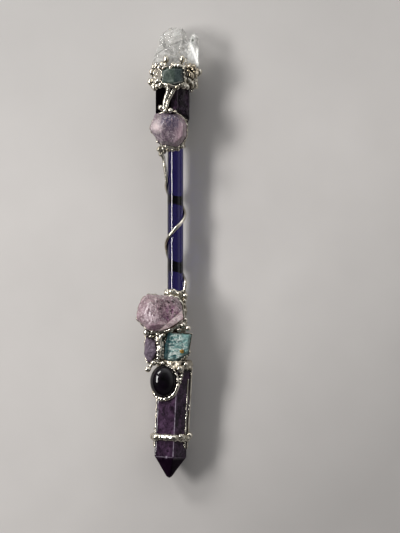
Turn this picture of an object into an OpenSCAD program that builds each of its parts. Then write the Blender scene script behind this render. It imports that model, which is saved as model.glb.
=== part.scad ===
// Crystal magic wand: a dark glass rod between two dark crystals, with a clear
// quartz finial, mounted stones, and foil and solder metalwork.
// The wand lies along Y with its quartz end towards +Y. Z is up. Millimetres.

/* [Rod] */
// Diameter of the glass rod
rod_d = 8; // [7.6:0.1:8.4]
// Height of the rod's axis above the surface that the wand lies on
axis_z = 10.4; // [10.2:0.1:10.6]

/* [Point crystal] */
// Distance from the point crystal's centre to a corner of its hexagon
point_r = 9.2; // [8.8:0.1:9.3]
// Length of the point crystal from its flat base to its tip
point_length = 62; // [56:1:66]
// Length of the six sloping faces at the tip
point_cap = 11.5; // [9:0.5:14]
// Angle between the point crystal and the rod
point_lean = 2.9; // [0:0.1:3.5]
// Turn of the point crystal's top edge away from the highest position
point_roll = 9.4; // [5:0.2:14]

/* [Upper crystal] */
// Distance from the upper crystal's centre to a corner of its hexagon
upper_r = 9.5; // [9:0.1:9.6]
// Turn of the upper crystal's top edge away from the highest position
upper_roll = 15; // [10:1:20]

/* [Crown] */
// Outer radius of the crown's collar
crown_r = 11.2; // [11:0.1:11.4]
// Length of the crown's collar along the wand
crown_length = 11.5; // [10:0.5:12.5]
// Outer diameter of the wire rosette
rosette_d = 8.2; // [7:0.2:9]

/* [Stones] */
// Width of the black oval cabochon
cabochon_w = 14; // [13:0.5:14.5]
// Length of the black oval cabochon
cabochon_l = 18; // [17:0.5:18.5]
// Height of the black oval cabochon
cabochon_h = 5.2; // [4:0.2:6]
// Thickness of the teal stone
teal_h = 5.2; // [4:0.2:6]
// Thickness of the green stone
green_h = 3.8; // [3:0.2:4.4]

/* [Metalwork] */
// Diameter of the wire that winds round the rod
wire_d = 1.9; // [1.6:0.1:2.1]
// Distance along the rod that one turn of the wire takes
wire_pitch = 31; // [30:0.5:32]
// Wall of the bezels round the stones
bezel_wall = 0.8; // [0.6:0.1:1]
// Width of the band round the point crystal
band_w = 3.2; // [2.6:0.2:4]

/* [Hidden] */

// Places along the wand
upper_joint_y = 66.5;
lower_joint_y = -58.5;
crown_y = 88;
band_y = -98.5;

// Axes
rod_x = 3.4;
upper_x = 2;
crown_x = 3;
crown_z = 10.8;

// Measures used by more than one piece
rod_r = rod_d / 2;
wire_r = wire_d / 2;
foil = 0.25;
gap = 0.1;
fit = 0.02;
far = 60;
rod_top_z = axis_z + rod_r;
seat_z = rod_top_z + 0.7;
upper_top_y = crown_y + 4.8;
base_slope = 0.7;
base_edge_y = 68;
base_edge_z = 7.9;

// Outlines of the stones, each about its own centre
lilac_centre = [-0.3, 65.5];
lilac_outline = [
    [-10.2, 0.6], [-7.2, 8.8], [-2.6, 9.3], [5.2, 8.6], [8.1, 6.2], [10.1, 2.4],
    [9.8, -3.2], [7.4, -7], [5.2, -9.1], [-3.7, -7.8], [-5.9, -5.6],
];
rose_centre = [-4.8, -31.8];
rose_outline = [
    [-6.5, 10], [-0.5, 9.5], [6.5, 9], [10, 7.5], [12, 3.5], [12.5, -3.5], [4.5, -8.5],
    [-1.5, -10], [-6.5, -9.5], [-12.5, -3.5], [-12.5, -1], [-11.5, 4], [-9, 8.5],
];
small_centre = [-9.6, -51.6];
small_outline = [
    [-2.6, 7], [2, 5.6], [3.5, 3], [3.2, -3.3], [0.2, -6.9], [-2, -6.6], [-3.7, -2], [-3.3, 3],
];
teal_centre = [4.8, -50.3];
teal_outline = [
    [-5.4, 7.9], [7.2, 7], [5.4, -3.6], [-0.5, -7.7], [-5.1, -7.2], [-7.4, -5.9], [-6.6, 2.8],
];
green_centre = [2.1, 93.9];
green_outline = [[-5.8, 3], [-3, 4.8], [5.5, 4.7], [6, -3.2], [1.3, -4.8], [-5.8, -3.4]];
cabochon_centre = [-2.9, -68.7, 18.6];
cabochon_tilt = -8;

// Frame of the point crystal: its own z runs from the base to the tip
module at_point() {
    translate([rod_x - 0.2, lower_joint_y, axis_z])
        rotate([0, 0, -point_lean])
            rotate([90, 0, 0])
                children();
}

// A crystal's cross-section: a hexagon whose upper left corner is drawn out by a flare
function crystal_outline(r, roll, flare) = [
    for (k = [0 : 5])
        let (angle = 90 - roll + 60 * k)
        r * [cos(angle) * (k == 1 ? flare : 1), sin(angle)]
];
point_flare = 1.16;
upper_flare = 1.28;
point_outline = crystal_outline(point_r, point_roll, point_flare);
upper_outline = crystal_outline(upper_r, upper_roll, upper_flare);

// A prism with the point crystal's cross-section, grown by a margin
module point_prism(margin, height) {
    linear_extrude(height)
        offset(delta = margin)
            polygon(point_outline);
}

// A piece that runs along the wand: its own z becomes +Y
module along_wand(x, y, z) {
    translate([x, y, z])
        rotate([-90, 0, 0])
            children();
}

function unit(v) = v / norm(v);
function turned(x, z, angle) = [x * cos(angle) - z * sin(angle), x * sin(angle) + z * cos(angle)];

// A smooth curve through the points, with the given number of steps between each two
function curve_at(p, i, t) =
    let (a = p[max(i - 1, 0)], b = p[i], c = p[i + 1], d = p[min(i + 2, len(p) - 1)])
    0.5 * (2 * b + (c - a) * t + (2 * a - 5 * b + 4 * c - d) * t ^ 2
        + (3 * b - 3 * c + d - a) * t ^ 3);
function curve(p, steps) = concat(
    [for (i = [0 : len(p) - 2], s = [0 : steps - 1]) curve_at(p, i, s / steps)],
    [p[len(p) - 1]]
);

// A round wire along a path; up is a direction that the path never takes
module wire(path, r, up = [0, 0, 1], sides = 8) {
    n = len(path);
    rings = [
        for (i = [0 : n - 1])
            let (
                t = unit(path[min(i + 1, n - 1)] - path[max(i - 1, 0)]),
                u = unit(cross(t, up)),
                v = cross(u, t)
            )
            for (k = [0 : sides - 1])
                path[i] + r * (u * cos(360 * k / sides) + v * sin(360 * k / sides))
    ];
    walls = [
        for (i = [0 : n - 2], k = [0 : sides - 1])
            let (m = (k + 1) % sides)
            each [
                [i * sides + k, i * sides + m, (i + 1) * sides + m],
                [i * sides + k, (i + 1) * sides + m, (i + 1) * sides + k],
            ]
    ];
    start = [for (k = [sides - 1 : -1 : 0]) k];
    end = [for (k = [0 : sides - 1]) (n - 1) * sides + k];
    polyhedron(rings, concat(walls, [start, end]));
}

// A solder bead
module bead(place, r) {
    translate(place)
        sphere(r = r, $fn = 32);
}

// A straight round stalk between two places
module stalk(from, to, r) {
    run = to - from;
    translate(from)
        rotate([0, acos(run.z / norm(run)), atan2(run.y, run.x)])
            cylinder(r = r, h = norm(run), $fn = 32);
}

// A thin slice of an outline, scaled about its own centre
module slice(centre, outline, z, size) {
    translate([centre.x, centre.y, z])
        linear_extrude(0.1)
            scale([size, size])
                polygon(outline);
}

// A stone: widest at its girdle, narrower at its seat below and its table above
module stone(centre, outline, bottom_z, girdle_z, top_z, seat_size, table_size) {
    hull() {
        slice(centre, outline, bottom_z, seat_size);
        slice(centre, outline, girdle_z, 1);
        slice(centre, outline, top_z - 0.1, table_size);
    }
}

// A bezel: a wall that follows a stone's outline
module bezel(centre, outline, bottom_z, height, inner_size) {
    translate([centre.x, centre.y, bottom_z])
        linear_extrude(height)
            difference() {
                offset(delta = bezel_wall)
                    scale([inner_size, inner_size])
                        polygon(outline);
                scale([inner_size, inner_size])
                    polygon(outline);
            }
}

// Everything below the surface that the wand lies on
module below_surface() {
    translate([-far, -3 * far, -far])
        cube([2 * far, 6 * far, far]);
}

// The space in front of the upper crystal's slanted base
module below_upper_base(clearance = 0) {
    translate([0, base_edge_y - clearance, base_edge_z])
        rotate([-atan(base_slope), 0, 0])
            translate([-far, -2 * far, -far])
                cube([2 * far, 2 * far, 2 * far]);
}

// ---- Rod and crystals ----

module glass_rod() {
    color("midnightblue")
        along_wand(rod_x, lower_joint_y + gap, axis_z)
            cylinder(r = rod_r, h = upper_joint_y - lower_joint_y - 2 * gap, $fn = 64);
}

module point_crystal() {
    blunt_tip = 0.6;
    color([0.24, 0.15, 0.27])
        at_point()
            union() {
                linear_extrude(point_length - point_cap)
                    polygon(point_outline);
                translate([0, 0, point_length - point_cap])
                    linear_extrude(point_cap - blunt_tip, scale = blunt_tip / point_cap)
                        polygon(point_outline);
            }
}

module upper_crystal() {
    upper_start_y = 55;
    color([0.14, 0.1, 0.15])
        difference() {
            along_wand(upper_x, upper_start_y, axis_z)
                linear_extrude(upper_top_y - upper_start_y)
                    mirror([0, 1])
                        polygon(upper_outline);
            below_upper_base();
        }
}

// Thin slabs across the wand: each has its centre, its width and height, and its turn about Y
module slabs(list) {
    slab_t = 0.6;
    for (slab = list)
        translate([slab[0].x, slab[0].y, axis_z + slab[0].z])
            rotate([0, slab[2], 0])
                cube([slab[1].x, slab_t, slab[1].y], center = true);
}

module quartz_main() {
    root_r = 9;
    root_y = crown_y + 6.2;
    lower_slabs = [
        [[3.4, 101, 0], [22.4, 14.5], 12],
        [[2.9, 108, 0.6], [19, 12.5], 0],
        [[3.2, 113.2, 1.2], [13, 8], 0],
    ];
    upper_slabs = [
        [[2.2, 109, 0.2], [12.6, 13], -14],
        [[2.6, 116.4, 0.2], [11.4, 11.5], -14],
        [[4, 120.2, -0.4], [6, 6.4], 0],
    ];
    color([0.86, 0.87, 0.85])
        union() {
            hull() {
                along_wand(crown_x, root_y, axis_z)
                    cylinder(r = root_r, h = 0.2, $fn = 7);
                slabs(lower_slabs);
            }
            hull()
                slabs(upper_slabs);
        }
}

module quartz_side() {
    side_r = 2.9;
    side_length = 20.9;
    tip_from = 17.5;
    tip_slope = 38;
    lean = 3;
    color([0.9, 0.9, 0.88])
        translate([12.4, 97, axis_z + 2.2])
            rotate([-90, 0, -lean])
                difference() {
                    cylinder(r = side_r, h = side_length, $fn = 6);
                    for (k = [0 : 5])
                        rotate([0, 0, 30 + 60 * k])
                            translate([side_r * cos(30), 0, tip_from])
                                rotate([0, -tip_slope, 0])
                                    translate([0, -far / 2, -far / 2])
                                        cube(far);
                }
}

// ---- Crown ----

module crown_collar() {
    profile = [
        [9.8, 0], [10.7, 0], [crown_r, 3], [crown_r, crown_length - 2],
        [10.8, crown_length], [10.1, crown_length], [9.9, 7],
    ];
    color("silver")
        difference() {
            along_wand(crown_x, crown_y, crown_z)
                rotate_extrude($fn = 64)
                    polygon(profile);
            below_surface();
        }
}

module crown_core() {
    color("tan")
        along_wand(crown_x, upper_top_y + gap, axis_z)
            cylinder(r = 8.6, h = 1.2, $fn = 48);
}

// Ball-tipped prongs: where each tip is, and how far round the crown its root is
prong_tips = [
    [-1.4, 103, 20.4], [2.4, 101.6, 22], [7.2, 103.2, 20.6], [-6.5, 99.8, 18],
    [-9.2, 96.4, 14.6], [-10, 91.4, 11.5], [16.2, 96.4, 13.6], [14, 89.6, 15],
    [-7.6, 101, 6.4], [14, 101, 7.4], [-2.2, 102.6, 2.4], [8.4, 102.6, 2.4],
];

module crown_prongs() {
    root_depth = 1.6;
    color("silver")
        for (tip = prong_tips) {
            outward = unit([tip.x - crown_x, 0, tip.z - crown_z]);
            root = [crown_x, tip.y - 3.4, crown_z] + (crown_r - root_depth / 2) * outward;
            union() {
                bead(tip, 1.05);
                stalk(root, tip, 0.7);
            }
        }
}

module crown_granules() {
    granule_r = [1.1, 0.9, 1.2, 1, 0.85];
    color("silver")
        for (i = [0 : 13]) {
            angle = 360 * i / 14 + 8;
            r = granule_r[i % 5];
            place = [
                crown_x + (crown_r - 0.2) * cos(angle),
                crown_y + 0.9 + 0.3 * (i % 3),
                crown_z + (crown_r - 0.2) * sin(angle),
            ];
            if (place.z - r > 0.1)
                bead(place, r);
        }
}

module crown_wing() {
    color([0.78, 0.76, 0.7])
        translate([crown_x, 94.6, crown_z])
            rotate([0, -47, 0])
                translate([-3.4, -3.5, crown_r - 0.4])
                    linear_extrude(1.4)
                        polygon([[0, 0.5], [5.2, 0], [6.6, 2], [6.4, 6.2], [2.2, 7], [0, 5.2]]);
}

module green_stone() {
    green_seat = crown_z + crown_r - 1.2;
    color([0.26, 0.33, 0.31])
        stone(green_centre, green_outline, green_seat, green_seat + 1.6, green_seat + green_h, 0.9, 0.72);
}

module green_stone_bezel() {
    color("silver")
        bezel(green_centre, green_outline, crown_z + crown_r - 1.4, 2.2, 1);
}

module at_rosette() {
    translate([12.1, 96.9, 18.2])
        rotate([0, 38, 0])
            children();
}

module rosette_base() {
    color("silver")
        at_rosette()
            translate([0, 0, -1.4])
                cylinder(d = rosette_d - 1, h = 1.6, $fn = 48);
}

module rosette_coil() {
    turns = 2.4;
    steps = 34;
    thread = 0.55;
    outer = rosette_d / 2 - thread;
    path = [
        for (i = [0 : steps])
            let (share = i / steps, r = outer * (1 - 0.82 * share), a = 360 * turns * share)
            [r * cos(a), r * sin(a), 0.5 + 1.5 * share]
    ];
    color("tan")
        at_rosette()
            wire(path, thread);
}

// ---- Stems from the crown to the lilac stone ----

stem_left_route = [
    [-0.5, 90, 21.6], [-0.2, 87, 21.2], [-1.1, 83.8, 20.8], [-2.1, 80.6, 20.8], [-2.5, 76.6, 21],
];
stem_right_route = [
    [4, 89.4, 21.4], [2.5, 86.6, 21], [1.1, 83.8, 20.8], [-0.5, 80.6, 20.8], [-1.3, 76.4, 21],
];

module stem_left() {
    color("silver")
        wire(curve(stem_left_route, 4), 1.05);
}

module stem_right() {
    color("silver")
        wire(curve(stem_right_route, 4), 0.85);
}

module stem_beads() {
    color("silver") {
        bead([-4.2, 77.4, 20.6], 1.4);
        bead([0.9, 75.8, 21.2], 1.35);
        bead([-2.2, 75.6, 21.2], 1);
        bead([3.4, 75.2, 20.6], 0.9);
    }
}

// ---- Lilac stone and the rod's upper end ----

lilac_girdle_z = 19.2;

module lilac_stone() {
    color([0.55, 0.48, 0.52])
        stone(lilac_centre, lilac_outline, seat_z, lilac_girdle_z, 25, 0.66, 0.62);
}

module lilac_stone_bezel() {
    route = [
        [0.8, 75.3, 19.8], [5.2, 74.7, 19.4], [8.2, 72.1, 19], [10.3, 68, 18.8],
        [10, 62.2, 18.6], [7.5, 58.1, 18.2], [5.2, 55.8, 17.8], [0, 55.8, 17.6], [-4.2, 56.8, 17.4],
    ];
    color("silver")
        wire(curve(route, 4), 0.7);
}

module lilac_stone_beads() {
    row = [[7.2, 56.8], [4.6, 55.5], [2.1, 55.1], [-0.4, 55.3], [-2.8, 55.9]];
    bead_r = [1, 1.15, 1.05, 1.25, 1.1];
    color("silver")
        for (i = [0 : len(row) - 1])
            bead([row[i].x, row[i].y, 15.6], bead_r[i]);
}

module upper_boot() {
    length = 20;
    color("silver")
        intersection() {
            along_wand(rod_x, 56.2, axis_z)
                rotate_extrude($fn = 64)
                    polygon([
                        [rod_r + foil, 0], [rod_r + 1.1, 0], [rod_r + 1.3, 5],
                        [rod_r + 2.8, length], [rod_r + foil, length],
                    ]);
            below_upper_base(gap);
        }
}

module upper_foil_sleeve() {
    color("peru")
        along_wand(rod_x, 56, axis_z)
            difference() {
                cylinder(r = rod_r + foil, h = 9.8, $fn = 64);
                translate([0, 0, -1])
                    cylinder(r = rod_r + fit, h = 12, $fn = 64);
            }
}

// ---- Wire round the rod ----

helix_r = rod_r + wire_r;
helix_front_y = 12.9;
// Pitches below the front crossing, and the angle reached there: wound by hand, so looser at its lower end
helix_stops = [[-1, -270], [0, 90], [0.28, 180], [0.66, 270], [0.93, 360]];
function helix(y) =
    let (angle = lookup((helix_front_y - y) / wire_pitch, helix_stops))
    [rod_x + helix_r * cos(angle), y, axis_z + helix_r * sin(angle)];

module wire_knot() {
    color("silver") {
        bead([-5, 55.4, 14.8], 1.5);
        bead([-2.6, 54, 14.2], 1.1);
        bead([-4.5, 52.6, 13.8], 1);
    }
}

module spiral_wire() {
    helix_from = 38;
    helix_to = -11.5;
    lead_in = [[-4.6, 54.6, 13.8], [-3, 50.8, 13.2], [-1.9, 44, 12.8], helix(helix_from)];
    lead_out = [helix(helix_to), [8.7, -15.6, 12.2], [8.1, -20.6, 12.6]];
    turns = [for (y = [helix_from - 1 : -1 : helix_to + 1]) helix(y)];
    color("silver")
        wire(concat(curve(lead_in, 4), turns, curve(lead_out, 3)), wire_r, up = [0, 1, 0]);
}

// ---- Rod's lower end ----

module lower_foil_sleeve() {
    color("peru")
        along_wand(rod_x, lower_joint_y + 0.2, axis_z)
            difference() {
                cylinder(r = rod_r + foil, h = 37.8, $fn = 64);
                translate([0, 0, -1])
                    cylinder(r = rod_r + fit, h = 40, $fn = 64);
            }
}

module lower_collar() {
    color("silver")
        along_wand(rod_x, -23.4, axis_z)
            rotate_extrude($fn = 64)
                polygon([
                    [rod_r + foil, 0], [rod_r + 1.4, 0], [rod_r + 1.6, 1.6],
                    [rod_r + 1.1, 3.2], [rod_r + foil, 3.6],
                ]);
}

module lower_collar_balls() {
    color("silver") {
        bead([8.7, -22.8, 14.6], 1.35);
        bead([5.4, -21.4, 15.4], 1.15);
        bead([1.2, -20.6, 15], 1.3);
        bead([-1.4, -21, 13.6], 1);
        bead([8.4, -25.4, 15], 0.9);
    }
}

// ---- Rose stone ----

rose_girdle_z = 19.6;

module rose_stone() {
    color([0.62, 0.5, 0.54])
        stone(rose_centre, rose_outline, seat_z, rose_girdle_z, 26, 0.72, 0.62);
}

module rose_stone_bezel() {
    color("silver")
        bezel(rose_centre, rose_outline, seat_z - 0.2, 3.4, 0.9);
}

module rose_stone_prongs() {
    color("silver") {
        bead([-11.8, -42.4, 17.6], 1.6);
        bead([-9.4, -44.4, 16.6], 1.3);
        bead([-5.8, -43.4, 18.2], 1.35);
        bead([-2.9, -43.6, 18.4], 1.3);
    }
}

module rose_solder_cluster() {
    color("silver") {
        bead([4.6, -38.4, 17.8], 1.3);
        bead([7.6, -38.2, 18.2], 1.45);
        bead([8.8, -35.5, 18], 1);
        bead([10.2, -40.1, 18.4], 1.3);
        bead([5.4, -40.8, 17.6], 1.1);
    }
}

// ---- Small stone and teal stone ----

module small_stone() {
    color([0.36, 0.31, 0.35])
        stone(small_centre, small_outline, 12.4, 15.6, 19.4, 0.6, 0.62);
}

module small_stone_bezel() {
    color("silver")
        bezel(small_centre, small_outline, 12.2, 2.6, 0.78);
}

module teal_stone() {
    color([0.45, 0.6, 0.58])
        stone(teal_centre, teal_outline, seat_z, seat_z + 3, seat_z + teal_h, 0.92, 0.86);
}

module teal_stone_bezel() {
    color("silver")
        bezel(teal_centre, teal_outline, seat_z - 0.2, 2.8, 0.97);
}

module gold_fleck() {
    color("goldenrod")
        translate([7, -52.4, seat_z + teal_h - 0.5])
            cylinder(r = 1.3, h = 0.7, $fn = 32);
}

module divider_ridge() {
    route = [[-3.9, -43.6, 18.6], [-4.8, -47.4, 18.4], [-4.6, -51.4, 18.6], [-5.2, -55.8, 18.2]];
    under = [0.2, 0, 1.6];
    wall = [1.6, 13.4, 4.6];
    color("silver")
        union() {
            wire(curve(route, 4), 1.1);
            wire([for (p = route) p - under], 0.9);
            translate([-5.4, -57, 13])
                cube(wall);
        }
}

module stone_saddle() {
    from_y = -57.4;
    length = 34.6;
    plate = [18.2, length, 2.1];
    cheeks = [11.2, length, rod_r];
    color([0.7, 0.68, 0.62])
        difference() {
            union() {
                translate([-9.2, from_y, rod_top_z - 1.6])
                    cube(plate);
                translate([rod_x - cheeks.x / 2, from_y, axis_z - 1])
                    cube(cheeks);
            }
            along_wand(rod_x, lower_joint_y - 1, axis_z)
                cylinder(r = rod_r + foil + fit, h = 60, $fn = 64);
        }
}

// ---- Cap, cabochon and balls on the point crystal ----

module point_cap_plate() {
    cap_wall = 0.5;
    cap_floor = 1;
    cap_skirt = 3.4;
    color([0.55, 0.52, 0.46])
        at_point()
            difference() {
                translate([0, 0, -cap_floor])
                    point_prism(cap_wall, cap_floor + cap_skirt);
                translate([0, 0, gap])
                    point_prism(fit, cap_skirt + 1);
                translate([0, 0, -2 * cap_floor])
                    cylinder(r = rod_r + foil + fit, h = 3 * cap_floor, $fn = 64);
            }
}

module at_cabochon() {
    translate(cabochon_centre)
        rotate([0, cabochon_tilt, 2])
            children();
}

module oval(width, length) {
    resize([width, length])
        circle(d = 10, $fn = 48);
}

module cabochon() {
    levels = 7;
    color([0.07, 0.06, 0.08])
        at_cabochon()
            hull()
                for (i = [0 : levels]) {
                    climb = 86 * i / levels;
                    translate([0, 0, cabochon_h * sin(climb)])
                        linear_extrude(0.05)
                            oval(cabochon_w * cos(climb), cabochon_l * cos(climb));
                }
}

// The cup's wall is thin at the stone's upper left and thick at its lower right
module cabochon_cup() {
    rim = 1.9;
    floor_h = 0.6;
    shift = bezel_wall / 2;
    color("silver")
        at_cabochon()
            translate([0, 0, -floor_h])
                difference() {
                    translate([shift, -shift, 0])
                        linear_extrude(floor_h + rim)
                            oval(cabochon_w + 2 * bezel_wall, cabochon_l + 2 * bezel_wall);
                    translate([0, 0, floor_h - fit])
                        linear_extrude(rim + 1)
                            oval(cabochon_w + 0.1, cabochon_l + 0.1);
                }
}

module cabochon_solder() {
    wedge = [8.6, 12.5, 2.98];
    color([0.6, 0.58, 0.52])
        difference() {
            at_cabochon()
                translate([-3.4, -6, -3.6])
                    cube(wedge);
            at_point()
                translate([0, 0, -1])
                    point_prism(fit, 50);
        }
}

module cabochon_bead_strip() {
    count = 7;
    color("silver")
        for (i = [0 : count - 1]) {
            share = i / (count - 1);
            bead([
                7 - 3.6 * share ^ 1.6,
                -63.6 - 10.6 * share,
                19.6 - 0.2 * share,
            ], 0.78 + 0.08 * (i % 2));
        }
}

module large_balls() {
    color("silver") {
        bead([6, -61.7, 19.8], 1.95);
        bead([-11.2, -62, 18.2], 1.5);
        bead([-8.2, -58.6, 18], 1.5);
        bead([-3.4, -58.8, 18.8], 1.2);
        bead([9, -59.4, 17.6], 1.3);
    }
}

// ---- Edge wires and band round the point crystal ----

// A place on the point crystal: across and up from its axis, and down from its base
function on_point(x, up, down) = [
    rod_x - 0.2 + x * cos(point_lean) - down * sin(point_lean),
    lower_joint_y - down * cos(point_lean) - x * sin(point_lean),
    axis_z + up,
];

// A strip of foil and solder over the steep face at the point crystal's left
module left_edge_strip() {
    strip_wall = 0.5;
    strip_length = 43;
    end_margin = 0.3;
    top = point_outline[1];
    bottom = point_outline[2];
    down = unit(bottom - top);
    out = [down.y, -down.x];
    inner = [top + end_margin * down + fit * out, bottom - end_margin * down + fit * out];
    color("silver")
        at_point()
            translate([0, 0, 3])
                linear_extrude(strip_length)
                    polygon([inner[0], inner[1], inner[1] + strip_wall * out, inner[0] + strip_wall * out]);
}

module right_inner_wire() {
    edge = turned(point_r, 0, 30 - point_roll);
    sway = 0.2;
    color("silver")
        wire(
            [for (down = [8 : 3.8 : 46]) on_point(edge.x - 1.2 + sway * cos(40 * down), edge.y + 1, down)],
            0.5
        );
}

module right_outer_wire() {
    edge = turned(point_r, 0, 30 - point_roll);
    color("silver")
        wire(
            [for (down = [2 : 4 : 46]) on_point(edge.x + 0.5 - 0.01 * down, edge.y - 0.2, down)],
            0.55
        );
}

module tip_band() {
    band_wall = 1.2;
    color("silver")
        difference() {
            at_point()
                translate([0, 0, lower_joint_y - band_y - band_w / 2])
                    difference() {
                        point_prism(band_wall, band_w);
                        translate([0, 0, -1])
                            point_prism(fit, band_w + 2);
                    }
            below_surface();
        }
}

module band_knobs() {
    color("silver") {
        bead(on_point(-9.4, 1.6, 40), 1.7);
        bead(on_point(-5.6, 7.2, 40), 1.4);
        bead(on_point(9.6, 3, 38.6), 1.6);
        bead(on_point(5.2, 8.2, 39), 1.3);
        bead(on_point(9, -3.4, 39.4), 1.4);
    }
}

module band_rest_pad() {
    pad_w = 7;
    pad_h = 1.9;
    color("silver")
        difference() {
            translate([rod_x - 2 - pad_w / 2, band_y - band_w / 2 - 0.6, 0])
                cube([pad_w, band_w + 1.2, pad_h]);
            at_point()
                translate([0, 0, 20])
                    point_prism(fit, 30);
        }
}

glass_rod();
point_crystal();
upper_crystal();
quartz_main();
quartz_side();
crown_collar();
crown_core();
crown_prongs();
crown_granules();
crown_wing();
green_stone();
green_stone_bezel();
rosette_base();
rosette_coil();
stem_left();
stem_right();
stem_beads();
lilac_stone();
lilac_stone_bezel();
lilac_stone_beads();
upper_boot();
upper_foil_sleeve();
wire_knot();
spiral_wire();
lower_foil_sleeve();
lower_collar();
lower_collar_balls();
rose_stone();
rose_stone_bezel();
rose_stone_prongs();
rose_solder_cluster();
small_stone();
small_stone_bezel();
teal_stone();
teal_stone_bezel();
gold_fleck();
divider_ridge();
stone_saddle();
point_cap_plate();
cabochon();
cabochon_cup();
cabochon_solder();
cabochon_bead_strip();
large_balls();
left_edge_strip();
right_inner_wire();
right_outer_wire();
tip_band();
band_knobs();
band_rest_pad();
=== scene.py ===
import math
import random

import bmesh
import bpy
from mathutils import Matrix, Vector, noise
from mathutils.bvhtree import BVHTree


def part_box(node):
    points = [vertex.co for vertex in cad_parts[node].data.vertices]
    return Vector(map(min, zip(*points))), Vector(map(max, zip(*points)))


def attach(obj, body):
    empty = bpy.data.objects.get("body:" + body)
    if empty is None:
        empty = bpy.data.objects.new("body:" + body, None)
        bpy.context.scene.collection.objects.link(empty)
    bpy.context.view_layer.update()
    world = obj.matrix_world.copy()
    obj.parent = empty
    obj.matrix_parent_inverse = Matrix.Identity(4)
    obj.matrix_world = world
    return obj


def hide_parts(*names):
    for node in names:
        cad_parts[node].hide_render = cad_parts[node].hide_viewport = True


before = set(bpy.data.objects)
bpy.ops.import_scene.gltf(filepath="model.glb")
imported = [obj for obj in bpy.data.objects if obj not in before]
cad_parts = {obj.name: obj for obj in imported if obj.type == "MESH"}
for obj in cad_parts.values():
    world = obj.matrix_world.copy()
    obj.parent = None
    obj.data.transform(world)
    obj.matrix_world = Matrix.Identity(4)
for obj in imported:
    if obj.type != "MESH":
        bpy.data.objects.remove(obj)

# Shapes are made in millimetres and scaled to metres when a piece is finished.
MM = 0.001
UP = Vector((0, 0, 1))
# Seeds pick rows of one noise field, this far apart; along a rim the noise runs this much for each degree.
SEED_STEP = 4.7
RIM_NOISE = 0.11
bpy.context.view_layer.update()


# ---- Reading the frame ----


def box_mm(node):
    """Lowest corner, highest corner and size of a CAD node, in millimetres."""
    low, high = (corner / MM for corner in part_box(node))
    return low, high, high - low


def centre_mm(node):
    low, high, _ = box_mm(node)
    return (low + high) / 2


def cad_mesh(node):
    """A CAD node's mesh in millimetres, with its flat faces whole."""
    shape = bmesh.new()
    shape.from_mesh(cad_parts[node].data)
    bmesh.ops.scale(shape, vec=Vector((1 / MM,) * 3), verts=shape.verts)
    bmesh.ops.remove_doubles(shape, verts=shape.verts, dist=0.002)
    return shape


def islands(shape):
    """The separate solids of a mesh, each as its list of vertices."""
    left = set(shape.verts)
    found = []
    while left:
        seed = left.pop()
        group, edge_of_group = [seed], [seed]
        while edge_of_group:
            vertex = edge_of_group.pop()
            for edge in vertex.link_edges:
                other = edge.other_vert(vertex)
                if other in left:
                    left.remove(other)
                    group.append(other)
                    edge_of_group.append(other)
        found.append(group)
    return sorted(found, key=lambda g: tuple(round(c, 2) for c in sum((v.co for v in g), Vector()) / len(g)))


def beads_of(node):
    """Centre and radius of each bead of a CAD node."""
    shape = cad_mesh(node)
    found = []
    for group in islands(shape):
        low = Vector(min(v.co[i] for v in group) for i in range(3))
        high = Vector(max(v.co[i] for v in group) for i in range(3))
        found.append(((low + high) / 2, max(high - low) / 2))
    shape.free()
    return found


def prongs_of(node):
    """Root and tip of each prong of a CAD node."""
    shape = cad_mesh(node)
    found = []
    for group in islands(shape):
        middle = sum((v.co for v in group), Vector()) / len(group)
        root = max((v.co.copy() for v in group), key=lambda c: (c - middle).length)
        tip = max((v.co.copy() for v in group), key=lambda c: (c - root).length)
        found.append((root, tip))
    shape.free()
    return found


def centreline(node, count):
    """Points along the middle of a CAD node that runs along Y, with its mean radius."""
    shape = cad_mesh(node)
    low, _, size = box_mm(node)
    points, radii = [], []
    for i in range(count):
        y = low.y + size.y * (0.02 + 0.96 * i / (count - 1))
        cuts = []
        for edge in shape.edges:
            a, b = (v.co for v in edge.verts)
            if (a.y - y) * (b.y - y) < 0:
                cuts.append(a.lerp(b, (y - a.y) / (b.y - a.y)))
        if cuts:
            middle = Vector((
                (min(c.x for c in cuts) + max(c.x for c in cuts)) / 2,
                y,
                (min(c.z for c in cuts) + max(c.z for c in cuts)) / 2,
            ))
            points.append(middle)
            radii.append(min((c - middle).length for c in cuts))
    shape.free()
    return points, sum(radii) / len(radii)


def at_share(node, u, v, w):
    """A place in a CAD node's box, from 0 to 1 along each axis."""
    low, _, size = box_mm(node)
    return Vector((low.x + size.x * u, low.y + size.y * v, low.z + size.z * w))


# ---- Node materials ----


def new_material(name):
    material = bpy.data.materials.new(name)
    material.use_nodes = True
    tree = material.node_tree
    shader = tree.nodes["Principled BSDF"]
    return material, tree, shader


def add_node(tree, kind, **values):
    node = tree.nodes.new(kind)
    for name, value in values.items():
        if name in node.inputs:
            node.inputs[name].default_value = value
        else:
            setattr(node, name, value)
    return node


def place_mm(tree, stretch=(1, 1, 1)):
    """Object coordinates in millimetres, stretched along the axes."""
    coordinates = add_node(tree, "ShaderNodeTexCoord")
    mapping = add_node(tree, "ShaderNodeMapping")
    mapping.inputs["Scale"].default_value = [1 / MM / s for s in stretch]
    tree.links.new(coordinates.outputs["Object"], mapping.inputs["Vector"])
    return mapping.outputs["Vector"]


def clouds(tree, place, scale, detail=4, roughness=0.55, distortion=0.0):
    node = add_node(
        tree, "ShaderNodeTexNoise", Scale=scale, Detail=detail, Roughness=roughness, Distortion=distortion
    )
    tree.links.new(place, node.inputs["Vector"])
    return node.outputs["Fac"]


def cells(tree, place, scale, feature="DISTANCE_TO_EDGE", jitter=1.0):
    node = add_node(tree, "ShaderNodeTexVoronoi", feature=feature, Scale=scale, Randomness=jitter)
    tree.links.new(place, node.inputs["Vector"])
    return node.outputs["Distance"]


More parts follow.
